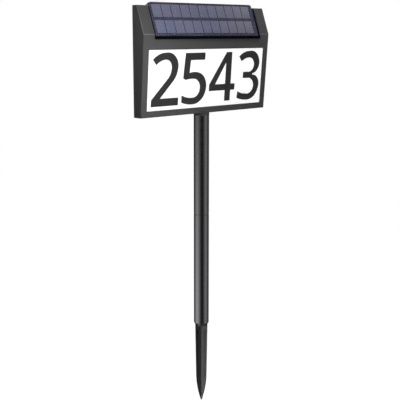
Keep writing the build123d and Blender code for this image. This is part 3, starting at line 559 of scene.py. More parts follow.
@dataclass(frozen=True)
class SiliconCell(Finish):
    """Cut silicon cell: a blue-grey wafer with fine silver fingers across it.

    Attributes:
        finger_colour: Colour of the silver fingers.
        finger_pitch_mm: Distance from one finger to the next.
        finger_share: Width of a finger as a share of that distance. The real one, a tenth of a
            millimetre, is too fine to show, so it is drawn more than twice as wide.
        other_colour: Bluer colour that some cells lean to.
        other_start: Chance from which a cell starts to lean to it.
        grey_and_painted_light_colour: Greyer, lighter colour of the cells on the right: partly
        their own greyer tone, partly painted light against the lamps' falloff to the right.
        grey_and_painted_light_share: How far the last cells take it.
        grey_and_painted_light_start: X from which the cells start to take it.
        grey_and_painted_light_full: X from which they have their full share of it.
        left_x: Left edge of the first column.
        cell_pitch: Distance from one column to the next.
        foot_z: Foot of the lower row.
        row_pitch: Height from the foot of one row to the foot of the next.
        depth_spread: How far the depth of colour differs between the palest and darkest cell.
    """

    finger_colour: str = "#76778c"
    finger_pitch_mm: float = 2.2
    finger_share: float = 0.12
    other_colour: str = "#5f6581"
    other_start: float = 0.6
    grey_and_painted_light_colour: str = "#73737d"
    grey_and_painted_light_share: float = 0.8
    grey_and_painted_light_start: float = 0.0
    grey_and_painted_light_full: float = 0.08
    left_x: float = -0.1236
    cell_pitch: float = 0.021036
    foot_z: float = 0.529
    row_pitch: float = 0.0255
    depth_spread: float = 0.08

    def cell_luck(self, tree: Tree, place: Socket) -> Node:
        """Even chance of each cell, the same all over it.

        Args:
            tree: Tree that takes the nodes.
            place: Coordinates of the surface.

        Returns:
            The noise node, with a chance in each of its outputs.
        """
        parts = add_node(tree, "ShaderNodeSeparateXYZ", inputs={"Vector": place})
        steps = []
        for axis, first, step in (
            ("X", self.left_x, self.cell_pitch),
            ("Z", self.foot_z, self.row_pitch),
        ):
            along = add_node(
                tree,
                "ShaderNodeMath",
                {"operation": "SUBTRACT"},
                {0: parts.outputs[axis], 1: first},
            ).outputs["Value"]
            turns = add_node(
                tree, "ShaderNodeMath", {"operation": "DIVIDE"}, {0: along, 1: step}
            ).outputs["Value"]
            index = add_node(tree, "ShaderNodeMath", {"operation": "FLOOR"}, {0: turns})
            steps.append(index.outputs["Value"])
        cell = add_node(tree, "ShaderNodeCombineXYZ", inputs={"X": steps[0], "Y": steps[1]})
        return add_node(
            tree,
            "ShaderNodeTexWhiteNoise",
            {"noise_dimensions": "2D"},
            {"Vector": cell.outputs["Vector"]},
        )

    def cell_shade(self, tree: Tree, place: Socket, wafer: Socket) -> Socket:
        """Wafer colour, a little other in hue and depth from cell to cell.

        Towards the right end the cells turn greyer and a little lighter: partly their own greyer
        tone, partly painted light that makes up for the light falling off to the right.

        Args:
            tree: Tree that takes the nodes.
            place: Coordinates of the surface.
            wafer: Colour that is the same in every cell.

        Returns:
            The colour of each cell.
        """
        luck = self.cell_luck(tree, place)
        lean = add_node(
            tree,
            "ShaderNodeMapRange",
            inputs={"Value": luck.outputs["Value"], "From Min": self.other_start, "From Max": 1.0},
        ).outputs["Result"]
        mixed = add_node(
            tree,
            "ShaderNodeMix",
            {"data_type": "RGBA"},
            {"Factor": lean, "A": wafer, "B": linear(self.other_colour)},
        ).outputs["Result"]
        across = add_node(
            tree, "ShaderNodeSeparateXYZ", inputs={"Vector": place}
        ).outputs["X"]
        # Painted light, partly the cells' own greyer tone: greyer and lighter towards the right
        # end.
        grey = add_node(
            tree,
            "ShaderNodeMapRange",
            inputs={
                "Value": across,
                "From Min": self.grey_and_painted_light_start,
                "From Max": self.grey_and_painted_light_full,
                "To Max": self.grey_and_painted_light_share,
            },
        ).outputs["Result"]
        greyed_and_lit = add_node(
            tree,
            "ShaderNodeMix",
            {"data_type": "RGBA"},
            {"Factor": grey, "A": mixed, "B": linear(self.grey_and_painted_light_colour)},
        ).outputs["Result"]
        chance = add_node(
            tree, "ShaderNodeSeparateColor", inputs={"Color": luck.outputs["Color"]}
        ).outputs["Green"]
        depth = add_node(
            tree,
            "ShaderNodeMapRange",
            inputs={
                "Value": chance,
                "To Min": 1 - self.depth_spread / 2,
                "To Max": 1 + self.depth_spread / 2,
            },
        ).outputs["Result"]
        scaled = add_node(
            tree, "ShaderNodeVectorMath", {"operation": "SCALE"}, {0: greyed_and_lit, "Scale": depth}
        )
        return scaled.outputs["Vector"]

    def shade(self, tree: Tree, place: Socket) -> Socket:
        """Wafer colour with the printed fingers over it.

        Args:
            tree: Tree that takes the nodes.
            place: Coordinates of the surface.

        Returns:
            The colour.
        """
        wafer = self.cell_shade(tree, place, super().shade(tree, place))
        across = add_node(
            tree, "ShaderNodeSeparateXYZ", inputs={"Vector": place}
        ).outputs["X"]
        turns = add_node(
            tree,
            "ShaderNodeMath",
            {"operation": "MULTIPLY"},
            {0: across, 1: pitch(self.finger_pitch_mm)},
        ).outputs["Value"]
        saw = add_node(
            tree, "ShaderNodeMath", {"operation": "FRACT"}, {0: turns}
        ).outputs["Value"]
        line = add_node(
            tree, "ShaderNodeMath", {"operation": "LESS_THAN"}, {0: saw, 1: self.finger_share}
        ).outputs["Value"]
        mix = add_node(
            tree,
            "ShaderNodeMix",
            {"data_type": "RGBA"},
            {"Factor": line, "A": wafer, "B": linear(self.finger_colour)},
        )
        return mix.outputs["Result"]


@dataclass(frozen=True)
class ClearEpoxy(Finish):
    """Cast clear resin over the cells, seen only by its gloss.

    Attributes:
        see_through: Share of the light that passes.
    """

    see_through: float = 0.93

    def surface(self, tree: Tree) -> Node:
        """Shader that lets most of the light through.

        Args:
            tree: Tree that takes the nodes.

        Returns:
            The shader.
        """
        shader = super().surface(tree)
        shader.inputs["Alpha"].default_value = 1 - self.see_through
        return shader


@dataclass(frozen=True)
class CircuitBoard(Finish):
    """Glass-fibre board under solder mask, with copper tracks that show as paler bands.

    Attributes:
        track_colour: Colour of the mask over copper.
        track_mm: Distance from one track to the next.
        track_share: Half the width of a track as a share of that distance.
    """

    track_colour: str = "#3f7a4b"
    track_mm: float = 3.0
    track_share: float = 0.07

    def shade(self, tree: Tree, place: Socket) -> Socket:
        """Mask colour with the tracks under it.

        Args:
            tree: Tree that takes the nodes.
            place: Coordinates of the surface.

        Returns:
            The colour.
        """
        mask = super().shade(tree, place)
        cells = add_node(
            tree,
            "ShaderNodeTexVoronoi",
            {"feature": "DISTANCE_TO_EDGE"},
            {"Vector": place, "Scale": pitch(self.track_mm)},
        ).outputs["Distance"]
        line = add_node(
            tree, "ShaderNodeMath", {"operation": "LESS_THAN"}, {0: cells, 1: self.track_share}
        ).outputs["Value"]
        mix = add_node(
            tree,
            "ShaderNodeMix",
            {"data_type": "RGBA"},
            {"Factor": line, "A": mask, "B": linear(self.track_colour)},
        )
        return mix.outputs["Result"]


@dataclass(frozen=True)
class BrushedMetal(Finish):
    """Bare or plated metal with fine marks drawn out along one axis.

    Attributes:
        stretch: Scale of the grain along each axis. A small one draws it out.
    """

    stretch: Place = (1.0, 1.0, 0.06)

    def relief(self, tree: Tree, place: Socket) -> Socket:
        """Height of the drawn-out marks."""
        drawn = add_node(
            tree, "ShaderNodeMapping", inputs={"Vector": place, "Scale": self.stretch}
        )
        return self.drift(tree, drawn.outputs["Vector"], self.grain_mm, MARK_LAYERS)


# Moulded ABS with a spark-eroded grain: dark grey, dull, with painted highlights on its edges. The
# real grain of 0.4 mm is too fine to show, so it is drawn at 0.9 mm.
CASING_ABS = MouldedCasing(
    "Moulded_ABS_spark_eroded",
    "#4a4a4b",
    roughness=0.5,
    specular=0.05,
    grain_mm=0.9,
    grain_depth_mm=0.035,
    shade_share=0.06,
    edge_mm=0.3,
)
# Extruded EPDM seal: almost black and dull.
SEAL_RUBBER = Finish("EPDM_rubber_extruded", "#1b1b1b", roughness=0.8, grain_mm=0.6)
# Acrylic foam tape: black with open pores.
FOAM_TAPE = Finish(
    "Acrylic_foam_tape", "#1d1d1e", roughness=0.95, grain_mm=0.5, grain_depth_mm=0.08
)
# Zinc-plated steel screw: bright grey with fine marks.
SCREW_ZINC = BrushedMetal(
    "Zinc_plated_steel",
    "#9c9da0",
    roughness=0.32,
    metallic=1.0,
    grain_mm=0.3,
    grain_depth_mm=0.01,
)
# Opal acrylic sheet: even white light through a satin face.
OPAL = OpalAcrylic(
    "Opal_acrylic_sheet",
    "#a6a6a4",
    roughness=0.35,
    grain_mm=0.7,
    grain_depth_mm=0.004,
    shade_share=0.01,
)
# Laser-cut acrylic digit with a satin face: almost black, slightly smoother than the casing.
DIGIT_ACRYLIC = Finish(
    "Cut_acrylic_satin",
    "#2b2b2c",
    roughness=0.42,
    specular=0.35,
    grain_mm=0.6,
    grain_depth_mm=0.006,
    shade_share=0.05,
    edge_mm=0.15,
)
# White polystyrene light tray: bright and smooth.
WHITE_TRAY = Finish("Moulded_white_polystyrene", "#ececea", roughness=0.35, shade_share=0.03)
# White solder mask on the light strip: white with a soft gloss.
WHITE_MASK = Finish("White_solder_mask", "#e6e6e0", roughness=0.3, grain_mm=0.3)
# Phosphor-filled silicone in the LED packages: pale yellow and glossy.
PHOSPHOR = Finish("LED_phosphor_silicone", "#f1e08a", roughness=0.25, coat=0.5)
# Moulded ABS panel frame, satin: deep black with hardly a highlight, partly painted shadow
# where its right flange and lower lip stand in for the shadow that the panel casts.
PANEL_FRAME_AND_PAINTED_SHADOW = Finish(
    "Black_ABS_frame_and_painted_shadow",
    "#050507",
    roughness=0.5,
    specular=0.06,
    grain_mm=1.2,
    grain_depth_mm=0.006,
)
# Back sheet of the laminate, glass-fibre under resin: dark blue-grey and smooth.
LAMINATE = BorderedLaminate(
    "Dark_fibreglass_laminate",
    "#303044",
    roughness=0.4,
    specular=0.1,
    grain_mm=0.8,
    grain_depth_mm=0.01,
)
# Cut crystalline silicon: blue-grey, striped by the fine fingers.
CELL = SiliconCell(
    "Cut_silicon_cell",
    "#6c6c88",
    roughness=0.4,
    specular=0.15,
    shade_mm=14.0,
    shade_share=0.1,
    grain_mm=1.0,
    grain_depth_mm=0.008,
)
# Cast epoxy over the cells: clear, with a slow wave in its gloss.
EPOXY = ClearEpoxy(
    "Cast_clear_epoxy",
    "#8a8aa0",
    roughness=0.22,
    grain_mm=9.0,
    grain_depth_mm=0.03,
    shade_share=0.02,
)
# Green glass-fibre circuit board: green with paler tracks and a soft gloss.
BOARD = CircuitBoard("Green_fibreglass_board", "#1d5a2f", roughness=0.35, grain_mm=0.5)
# Moulded epoxy of chips and coils: black and slightly grainy.
CHIP = Finish("Moulded_chip_epoxy", "#1c1c1d", roughness=0.55, grain_mm=0.4)
# Nylon of connectors: natural off-white.
NYLON = Finish("Natural_nylon", "#ddd9c8", roughness=0.45, grain_mm=0.5)
# Silicone rubber button: black, soft sheen.
BUTTON_SILICONE = Finish(
    "Black_silicone_rubber", "#1d1d1e", roughness=0.6, grain_mm=0.5, edge_mm=0.3
)
# Pad print on the button: flat white.
BUTTON_PRINT = Finish("White_pad_print", "#d8d8d6", roughness=0.55, grain_mm=0.4)
# Moulded ABS of the battery holder: black with a soft sheen.
HOLDER_ABS = Finish("Moulded_black_ABS", "#202022", roughness=0.45, grain_mm=0.7)
# Shrink sleeve of the cell: green, glossy.
SLEEVE = Finish("PVC_shrink_sleeve", "#1f6b46", roughness=0.28, coat=0.3, grain_mm=5.0)
# Nickel-plated spring steel: bright and slightly warm.
NICKEL = BrushedMetal("Nickel_plated_steel", "#b8b5ab", roughness=0.25, metallic=1.0, grain_mm=0.3)
# PVC insulation of the leads: dark red and smooth.
LEAD_PVC = Finish("PVC_insulation", "#7b1a1a", roughness=0.4, grain_mm=1.5, grain_depth_mm=0.01)
# Anodised aluminium tube, dark grey: a dull mirror with long drawn marks. The real marks, a tenth
# of a millimetre apart, are too fine to show, so they are drawn at 1.6 mm.
POLE_ANODISED = BrushedMetal(
    "Dark_anodised_aluminium_tube",
    "#727274",
    roughness=0.24,
    roughness_spread=0.03,
    metallic=0.95,
    grain_mm=1.6,
    grain_depth_mm=0.006,
    shade_share=0.05,
)
# Nylon under the pole's metallic paint: its ring passes for a part of the tube.
COUPLER_PAINT = Finish(
    "Metallic_paint_on_nylon",
    "#6c6c6e",
    roughness=0.3,
    roughness_spread=0.03,
    metallic=0.95,
    grain_mm=0.7,
    grain_depth_mm=0.008,
    shade_share=0.05,
)
# Glass-filled nylon of the cap, the socket and the spike: dark grey, satin.
STAKE_NYLON = Finish(
    "Glass_filled_nylon_moulded",
    "#464648",
    roughness=0.5,
    specular=0.08,
    grain_mm=1.1,
    grain_depth_mm=0.025,
    shade_share=0.1,
    edge_mm=0.35,
)


# --- Objects and meshes --------------------------------------------------------------------------


def link_object(name: str, data: bpy.types.ID) -> bpy.types.Object:
    """Put a new mesh, lamp or camera into the scene.

    Args:
        name: Name of the object.
        data: What the object shows or is.

    Returns:
        The new object.
    """
    thing = bpy.data.objects.new(name, data)
    bpy.context.scene.collection.objects.link(thing)
    return thing


def link_mesh(name: str, mesh: Mesh, material: bpy.types.Material) -> bpy.types.Object:
    """Turn a finished bmesh into an object in the scene.

    Args:
        name: Name of the object and of its mesh.
        mesh: Its faces, in the part's frame. It is freed here.
        material: What its faces are made of.

    Returns:
        The new object.
    """
    data = bpy.data.meshes.new(name)
    mesh.normal_update()
    mesh.to_mesh(data)
    mesh.free()
    data.materials.append(material)
    return link_object(name, data)


def add_strip(mesh: Mesh, inner: list[Vector], outer: list[Vector], lift: Vector) -> None:
    """Add a thin raised strip between two rows of points.

    Args:
        mesh: Mesh that takes the strip.
        inner: Points along one side.
        outer: Points along the other side, as many.
        lift: From the strip's foot to its face.
    """
    rows = [
        [mesh.verts.new(point) for point in line]
        for line in (
            inner,
            [point + lift for point in inner],
            [point + lift for point in outer],
            outer,
        )
    ]
    count = len(inner)
    for row, following in zip(rows, rows[1:] + rows[:1]):
        for index in range(count - 1):
            mesh.faces.new(
                (row[index], following[index], following[index + 1], row[index + 1])
            )
    for index in (0, count - 1):
        mesh.faces.new([row[index] for row in rows])


# --- Sub-assemblies ------------------------------------------------------------------------------


@dataclass
class SubAssembly:
    """Pieces that belong together.

    Attributes:
        title: Name of the group in the log.
    """

    frame: dict
    title: str = "pieces"

    def finishes(self) -> dict[str, Finish]:
        """Finish of each CAD node in the group."""
        return {}

    def build(self) -> None:
        """Build the group's own meshes."""

    def dress(self) -> None:
        """Dress the group's CAD nodes and report them."""
        for node, finish in self.finishes().items():
            finish.dress(self.frame["nodes"][node])
            LOG.info("%s: %s in %s", self.title, node, finish.name)


@dataclass
class Casing(SubAssembly):
    """Wedge casing with its rear cover and the bracket behind it."""

    title: str = "casing"

    def finishes(self) -> dict[str, Finish]:
        """Finish of each CAD node in the group."""
        return {
            "front_housing": CASING_ABS,
            "rear_cover": CASING_ABS,
            "stake_bracket": CASING_ABS,
            "cover_seal": SEAL_RUBBER,
            "cover_screws": SCREW_ZINC,
            "bracket_screws": SCREW_ZINC,
        }


@dataclass
class LightBox(SubAssembly):
    """Opal window with its digits, and the lit tray behind it."""

    title: str = "light box"

    def finishes(self) -> dict[str, Finish]:
        """Finish of each CAD node in the group."""
        return {
            "diffuser": OPAL,
            "window_gasket": SEAL_RUBBER,
            "digit_2": DIGIT_ACRYLIC,
            "digit_5": DIGIT_ACRYLIC,
            "digit_4": DIGIT_ACRYLIC,
            "digit_3": DIGIT_ACRYLIC,
            "light_tray": WHITE_TRAY,
            "tray_screws": SCREW_ZINC,
            "led_board": WHITE_MASK,
            "leds": PHOSPHOR,
        }


@dataclass
class SolarPanel(SubAssembly):
    """Solar laminate in its black frame on the slope."""

    title: str = "solar panel"

    def finishes(self) -> dict[str, Finish]:
        """Finish of each CAD node in the group."""
        return {
            "panel_frame": PANEL_FRAME_AND_PAINTED_SHADOW,
            "panel_gasket": FOAM_TAPE,
            "panel_grommet": SEAL_RUBBER,
            "solar_laminate": LAMINATE,
            "solar_cells": CELL,
            "panel_glaze": EPOXY,
        }


@dataclass
class Electronics(SubAssembly):
    """Control board, switch and button.

    Attributes:
        mark_radius_mm: Radius of the printed ring on the button.
        mark_line_mm: Width of its line.
        mark_lift_mm: Thickness of the print.
        mark_gap_deg: Opening at the top of the ring, for the bar.
        mark_steps: Straight steps round the ring.
        bar_foot_share: Height of the bar's foot over the centre, in inner radii of the ring.
        bar_tip_share: Height of the bar's tip over the centre, in outer radii of the ring.
    """

    title: str = "electronics"
    mark_radius_mm: float = 2.3
    mark_line_mm: float = 0.5
    mark_lift_mm: float = 0.05
    mark_gap_deg: float = 70.0
    mark_steps: int = 40
    bar_foot_share: float = 0.2
    bar_tip_share: float = 1.15

    def finishes(self) -> dict[str, Finish]:
        """Finish of each CAD node in the group."""
        return {
            "control_board": BOARD,
            "board_chips": CHIP,
            "board_screws": SCREW_ZINC,
            "board_connectors": NYLON,
            "lead_plugs": NYLON,
            "switch_body": CHIP,
            "switch_plunger": NYLON,
            "power_button": BUTTON_SILICONE,
            "button_seal": SEAL_RUBBER,
            "solar_leads": LEAD_PVC,
            "strip_leads": LEAD_PVC,
        }

    def build(self) -> None:
        """Print a ring with a bar at its top on the button's face."""
        low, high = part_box("power_button")
        centre = Vector(((low.x + high.x) / 2, high.y, (low.z + high.z) / 2))
        lift = Vector((0, self.mark_lift_mm * MM, 0))
        inner_radius = (self.mark_radius_mm - self.mark_line_mm / 2) * MM
        outer_radius = (self.mark_radius_mm + self.mark_line_mm / 2) * MM
        start = math.radians(90 + self.mark_gap_deg / 2)
        sweep = math.radians(360 - self.mark_gap_deg)
        angles = [start + sweep * index / self.mark_steps for index in range(self.mark_steps + 1)]
        rays = [Vector((math.cos(angle), 0, math.sin(angle))) for angle in angles]
        mesh = bmesh.new()
        add_strip(
            mesh,
            [centre + ray * inner_radius for ray in rays],
            [centre + ray * outer_radius for ray in rays],
            lift,
        )
        side = Vector((self.mark_line_mm * MM / 2, 0, 0))
        foot = centre + Vector((0, 0, self.bar_foot_share * inner_radius))
        tip = centre + Vector((0, 0, self.bar_tip_share * outer_radius))
        add_strip(mesh, [foot - side, tip - side], [foot + side, tip + side], lift)
        mark = link_mesh("power_mark", mesh, BUTTON_PRINT.build())
        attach(mark, "button")
        LOG.info("%s: power_mark in %s", self.title, BUTTON_PRINT.name)


@dataclass
class Battery(SubAssembly):
    """Battery cell in its holder, with its leads."""

    title: str = "battery"

    def finishes(self) -> dict[str, Finish]:
        """Finish of each CAD node in the group."""
        return {
            "battery_holder": HOLDER_ABS,
            "battery_cell": SLEEVE,
            "battery_contacts": NICKEL,
            "battery_spring": NICKEL,
            "battery_leads": LEAD_PVC,
        }


@dataclass
class Stake(SubAssembly):
    """Two-part pole with its plugs and the ground spike."""

    title: str = "stake"

    def finishes(self) -> dict[str, Finish]:
        """Finish of each CAD node in the group."""
        return {
            "upper_pole": POLE_ANODISED,
            "lower_pole": POLE_ANODISED,
            "pole_cap": STAKE_NYLON,
            "pole_coupler": COUPLER_PAINT,
            "spike_socket": STAKE_NYLON,
            "ground_spike": STAKE_NYLON,
        }


# --- Studio --------------------------------------------------------------------------------------


class Turn(Enum):
    """Directions round the sign, as degrees from +X towards +Y."""

    RIGHT = 0.0
    BACK_RIGHT = 28.0
    BACK = 62.0
    BACK_EDGE = 88.0
    BACK_LEFT = 108.0
    LEFT_BACK = 137.0
    LEFT_WINDOW = 156.0
    LEFT = 178.0
    LEFT_FRONT = 196.0
    CAMERA_LEFT = 213.0
    CAMERA = 232.0
    CAMERA_RIGHT = 252.0
    FRONT = 271.0
    FRONT_WINDOW = 291.0
    FRONT_RIGHT = 311.0
    RIGHT_FRONT = 332.0


@dataclass(frozen=True)
class Lamp:
    """A softbox that faces a point on the sign.

    Attributes:
        name: Name of the lamp.
        place: Centre of its face.
        aim: The point it faces.
        width: Width of its face.
        tall: Height of its face.
        power: Power in watts.
    """

    name: str
    place: Place
    aim: Place
    width: float
    tall: float
    power: float

    def build(self) -> bpy.types.Object:
        """Make the softbox and turn it to its aim.

        Returns:
            The lamp.
        """
        data = bpy.data.lights.new(self.name, "AREA")
        data.shape = "RECTANGLE"
        data.size = self.width
        data.size_y = self.tall
        data.energy = self.power
        lamp = link_object(self.name, data)
        lamp.location = Vector(self.place)
        lamp.rotation_mode = "QUATERNION"
        lamp.rotation_quaternion = (Vector(self.aim) - lamp.location).to_track_quat("-Z", "Y")
        lamp.visible_camera = False
        lamp.visible_glossy = False
        return lamp


@dataclass
class Tent:
    """Cloth tent with a dark ground sheet, which only show in reflections.

    Attributes:
        radius: How far it stands from the pole.
        foot: Height of its lower edge and of the ground sheet.
        crest: Height of its upper edge.
        sides: Number of flat faces round it.
        black_z: Height where it would be black. The ground sheet lies a little above it.
        pale_z: Height from which it has its low brightness.
        low_z: Height up to which the low brightness holds.
        high_z: Height of the high brightness.
        dark_z: Height from which the cloth is dark.
        brightest: Brightness that the ramps' 1 stands for, because a ramp stops there.
        levels: Brightness of the cloth in each direction, low and high.
    """

    radius: float = 1.2
    foot: float = -0.88
    crest: float = 1.8
    sides: int = 96
    black_z: float = -1.0
    pale_z: float = -0.55
    low_z: float = -0.4
    high_z: float = 0.35
    dark_z: float = 0.6
    brightest: float = 2.4
    levels: tuple[tuple[Turn, float, float], ...] = (
        (Turn.RIGHT, 0.05, 0.05),
        (Turn.BACK_RIGHT, 0.6, 0.5),
        (Turn.BACK, 0.1, 0.08),
        (Turn.BACK_EDGE, 0.0, 0.0),
        (Turn.BACK_LEFT, 0.0, 0.0),
        (Turn.LEFT_BACK, 1.7, 0.5),
        (Turn.LEFT_WINDOW, 1.9, 0.55),
        (Turn.LEFT, 1.35, 0.45),
        (Turn.LEFT_FRONT, 0.8, 0.3),
        (Turn.CAMERA_LEFT, 0.08, 0.05),
        (Turn.CAMERA, 0.0, 0.0),
        (Turn.CAMERA_RIGHT, 0.0, 0.0),
        (Turn.FRONT, 0.35, 0.3),
        (Turn.FRONT_WINDOW, 0.95, 0.8),
        (Turn.FRONT_RIGHT, 0.7, 0.6),
        (Turn.RIGHT_FRONT, 0.12, 0.1),
    )

    def ring(self, tree: Tree, around: Socket, column: int) -> Socket:
        """Brightness round the tent at one height.

        Args:
            tree: Tree that takes the nodes.
            around: Direction, from 0 to 1 for a whole turn that starts at -X.
            column: Which brightness of each level it takes: 1 is the low one and 2 the high one.

        Returns:
            The brightness, as a share of the brightest.
        """
        spots = sorted(
            ((level[0].value / 360 + 0.5) % 1.0, level[column] / self.brightest)
            for level in self.levels
        )
        (first, first_level), (last, last_level) = spots[0], spots[-1]
        share = (1 - last) / (1 - last + first)
        seam = last_level + share * (first_level - last_level)
        ramp = add_node(tree, "ShaderNodeValToRGB", inputs={"Fac": around})
        set_stops(ramp.color_ramp, ((0.0, seam), *spots, (1.0, seam)))
        return ramp.outputs["Color"]

    def cloth(self) -> bpy.types.Material:
        """Cloth whose brightness goes round with the direction and up with the height.

        Returns:
            Its material.
        """
        material = bpy.data.materials.new("Graded_studio_cloth")
        tree = empty_tree(material)
        place = add_node(tree, "ShaderNodeTexCoord").outputs["Object"]
        # the gradient runs from 0 at -X through 0.5 at +X, so the stops start there
        around = add_node(
            tree, "ShaderNodeTexGradient", {"gradient_type": "RADIAL"}, {"Vector": place}
        ).outputs["Fac"]
        height = add_node(tree, "ShaderNodeSeparateXYZ", inputs={"Vector": place}).outputs["Z"]
        lift = add_node(
            tree,
            "ShaderNodeMapRange",
            inputs={"Value": height, "From Min": self.low_z, "From Max": self.high_z},
        ).outputs["Result"]
        mix = add_node(
            tree,
            "ShaderNodeMix",
            {"data_type": "RGBA"},
            {"Factor": lift, "A": self.ring(tree, around, 1), "B": self.ring(tree, around, 2)},
        )
        strength = add_node(
            tree,
            "ShaderNodeMapRange",
            inputs={
                "Value": height,
                "From Min": self.high_z,
                "From Max": self.dark_z,
                "To Min": self.brightest,
                "To Max": 0.0,
            },
        ).outputs["Result"]
        dim = add_node(
            tree,
            "ShaderNodeMapRange",
            inputs={"Value": height, "From Min": self.black_z, "From Max": self.pale_z},
        ).outputs["Result"]
        graded = add_node(
            tree, "ShaderNodeMath", {"operation": "MULTIPLY"}, {0: strength, 1: dim}
        ).outputs["Value"]
        glow = add_node(
            tree,
            "ShaderNodeEmission",
            inputs={"Color": mix.outputs["Result"], "Strength": graded},
        )
        add_node(tree, "ShaderNodeOutputMaterial", inputs={"Surface": glow.outputs[0]})
        return material

    def build(self) -> bpy.types.Object:
        """Make the tent.

        Returns:
            The wall of cloth and its ground sheet.
        """
        mesh = bmesh.new()
        rows = []
        for index in range(self.sides):
            turn = math.tau * index / self.sides
            out = Vector((math.cos(turn), math.sin(turn), 0)) * self.radius
            foot = out + Vector((0, 0, self.foot))
            crest = out + Vector((0, 0, self.crest))
            rows.append((mesh.verts.new(foot), mesh.verts.new(crest)))
        centre = mesh.verts.new((0, 0, self.foot))
        for (foot, crest), (next_foot, next_crest) in zip(rows, rows[1:] + rows[:1]):
            mesh.faces.new((foot, next_foot, next_crest, crest))
            mesh.faces.new((foot, centre, next_foot))
        tent = link_mesh("studio_tent", mesh, self.cloth())
        tent.visible_camera = False
        tent.visible_diffuse = False
        tent.visible_shadow = False
        tent.visible_transmission = False
        return tent


SOFTBOXES = (
    # Near the casing's front, because the light on it falls off from left to right.
    Lamp("left_softbox", (-0.28, -0.18, 0.60), (-0.112, -0.01, 0.48), 0.14, 0.14, 0.46),
    Lamp("low_softbox", (-0.145, -0.17, 0.45), (-0.124, -0.01, 0.46), 0.12, 0.12, 0.2),
    Lamp("right_softbox", (0.17, -0.18, 0.77), (0.12, -0.01, 0.57), 0.16, 0.16, 0.74),
    # In front of the spike, which the other lamps leave too dark.
    Lamp("spike_softbox", (0.05, -0.42, -0.25), (0.0, 0.0, -0.08), 0.2, 0.2, 2.3),
    # Further off, so that the grey shows about as it is written from each side.
    Lamp("front_softbox", (0.25, -1.60, 0.0), (0.0, 0.0, 0.0), 0.9, 1.4, 1.8),
    Lamp("back_softbox", (0.3, 1.9, 1.3), (0.0, 0.0, 0.3), 1.4, 1.4, 36.0),
    Lamp("side_softbox", (2.1, 0.4, 0.7), (0.0, 0.0, 0.3), 1.2, 1.2, 21.0),
)


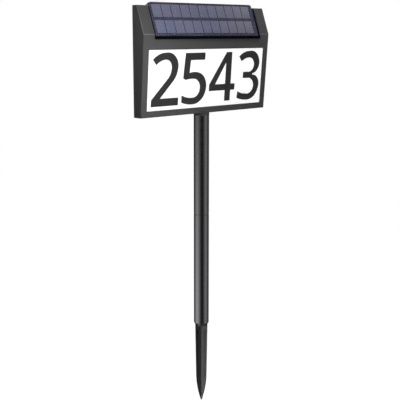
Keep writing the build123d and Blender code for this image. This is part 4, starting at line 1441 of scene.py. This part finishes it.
@dataclass
class Studio:
    """Pale floor, white surroundings, soft lamps and a cloth tent.

    Attributes:
        floor_z: Height of the floor.
        floor_size: Width of the floor.
        fill: Strength of the white surroundings as light on the sign.
        floor_glow: Strength of the floor's own white, for the eye and for reflections.
        floor_share: Share of that white in the floor. The rest is paper that takes the shadow.
        paper_colour: Colour of that paper.
        paper_roughness: Roughness of that paper.
    """

    floor_z: float = -0.9
    floor_size: float = 16.0
    fill: float = 0.045
    floor_glow: float = 1.16
    floor_share: float = 0.85
    paper_colour: str = "#f4f4f4"
    paper_roughness: float = 0.9

    def seen_ray(self, tree: Tree) -> Socket:
        """Tell the rays that show a surface from those that only light it.

        Args:
            tree: Tree that takes the nodes.

        Returns:
            1 for rays from the camera, a reflection or a clear piece, and 0 for the rest.
        """
        path = add_node(tree, "ShaderNodeLightPath")
        first = add_node(
            tree,
            "ShaderNodeMath",
            {"operation": "MAXIMUM"},
            {0: path.outputs["Is Camera Ray"], 1: path.outputs["Is Glossy Ray"]},
        ).outputs["Value"]
        seen = add_node(
            tree,
            "ShaderNodeMath",
            {"operation": "MAXIMUM"},
            {0: first, 1: path.outputs["Is Transmission Ray"]},
        )
        return seen.outputs["Value"]

    def build_surroundings(self) -> None:
        """White for the eye and for reflections, and a plain level for the light on the sign."""
        world = bpy.data.worlds.new("Studio_surroundings")
        bpy.context.scene.world = world
        tree = empty_tree(world)
        strength = add_node(
            tree,
            "ShaderNodeMapRange",
            inputs={"Value": self.seen_ray(tree), "To Min": self.fill, "To Max": 1.0},
        ).outputs["Result"]
        light = add_node(
            tree, "ShaderNodeBackground", inputs={"Color": linear(WHITE), "Strength": strength}
        )
        add_node(tree, "ShaderNodeOutputWorld", inputs={"Surface": light.outputs[0]})
        LOG.info("studio: %s", world.name)

    def paper(self) -> bpy.types.Material:
        """Paper that shows white and still takes the shadow.

        Returns:
            Its material.
        """
        material = bpy.data.materials.new("Pale_studio_floor")
        tree = empty_tree(material)
        paper = add_node(
            tree,
            "ShaderNodeBsdfPrincipled",
            inputs={"Base Color": linear(self.paper_colour), "Roughness": self.paper_roughness},
        )
        white = add_node(
            tree,
            "ShaderNodeEmission",
            inputs={"Color": linear(WHITE), "Strength": self.floor_glow},
        )
        share = add_node(
            tree,
            "ShaderNodeMath",
            {"operation": "MULTIPLY"},
            {0: self.seen_ray(tree), 1: self.floor_share},
        ).outputs["Value"]
        mix = add_node(
            tree,
            "ShaderNodeMixShader",
            inputs={0: share, 1: paper.outputs[0], 2: white.outputs[0]},
        )
        add_node(tree, "ShaderNodeOutputMaterial", inputs={"Surface": mix.outputs[0]})
        return material

    def build_floor(self) -> bpy.types.Object:
        """Lay the pale floor below the spike.

        Returns:
            The floor.
        """
        half = self.floor_size / 2
        outline = [(-half, -half), (half, -half), (half, half), (-half, half)]
        mesh = bmesh.new()
        mesh.faces.new([mesh.verts.new((x, y, self.floor_z)) for x, y in outline])
        floor = link_mesh("studio_floor", mesh, self.paper())
        return floor

    def build(self) -> None:
        """Build the whole studio and report it."""
        self.build_surroundings()
        for piece in (self.build_floor(), *(lamp.build() for lamp in SOFTBOXES), Tent().build()):
            LOG.info("studio: %s", piece.name)


@dataclass
class PhotoCamera:
    """Camera placed as the one that took the photo.

    Attributes:
        place: Where it stands.
        yaw_deg: How far it is turned from +Y towards +X.
        down_deg: How far it looks down.
        lens_mm: Focal length.
        sensor_mm: Width of the sensor.
        near: Distance from which it sees.
        far: Distance up to which it sees.
    """

    place: Place = (-1.023, -1.056, 0.5315)
    yaw_deg: float = 43.993
    down_deg: float = 11.39
    lens_mm: float = 74.8
    sensor_mm: float = 36.0
    near: float = 0.05
    far: float = 50.0

    def build(self) -> bpy.types.Object:
        """Make it the scene's camera.

        Returns:
            The camera.
        """
        data = bpy.data.cameras.new("photo_camera")
        data.lens = self.lens_mm
        data.sensor_width = self.sensor_mm
        data.clip_start = self.near
        data.clip_end = self.far
        camera = link_object("photo_camera", data)
        yaw = math.radians(self.yaw_deg)
        down = math.radians(self.down_deg)
        ahead = Vector(
            (math.sin(yaw) * math.cos(down), math.cos(yaw) * math.cos(down), -math.sin(down))
        )
        camera.location = Vector(self.place)
        camera.rotation_mode = "QUATERNION"
        camera.rotation_quaternion = ahead.to_track_quat("-Z", "Y")
        bpy.context.scene.camera = camera
        LOG.info("studio: %s", camera.name)
        return camera


def main() -> None:
    """Dress the part, build its own meshes and set up the studio and the camera."""
    logging.basicConfig(level=logging.INFO, format="%(name)s %(message)s")
    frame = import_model()
    groups: tuple[SubAssembly, ...] = (
        Casing(frame),
        LightBox(frame),
        SolarPanel(frame),
        Electronics(frame),
        Battery(frame),
        Stake(frame),
    )
    for group in groups:
        group.build()
        group.dress()
    Studio().build()
    PhotoCamera().build()
    bpy.context.scene.view_settings.view_transform = "Standard"


if __name__ == "__main__":
    main()
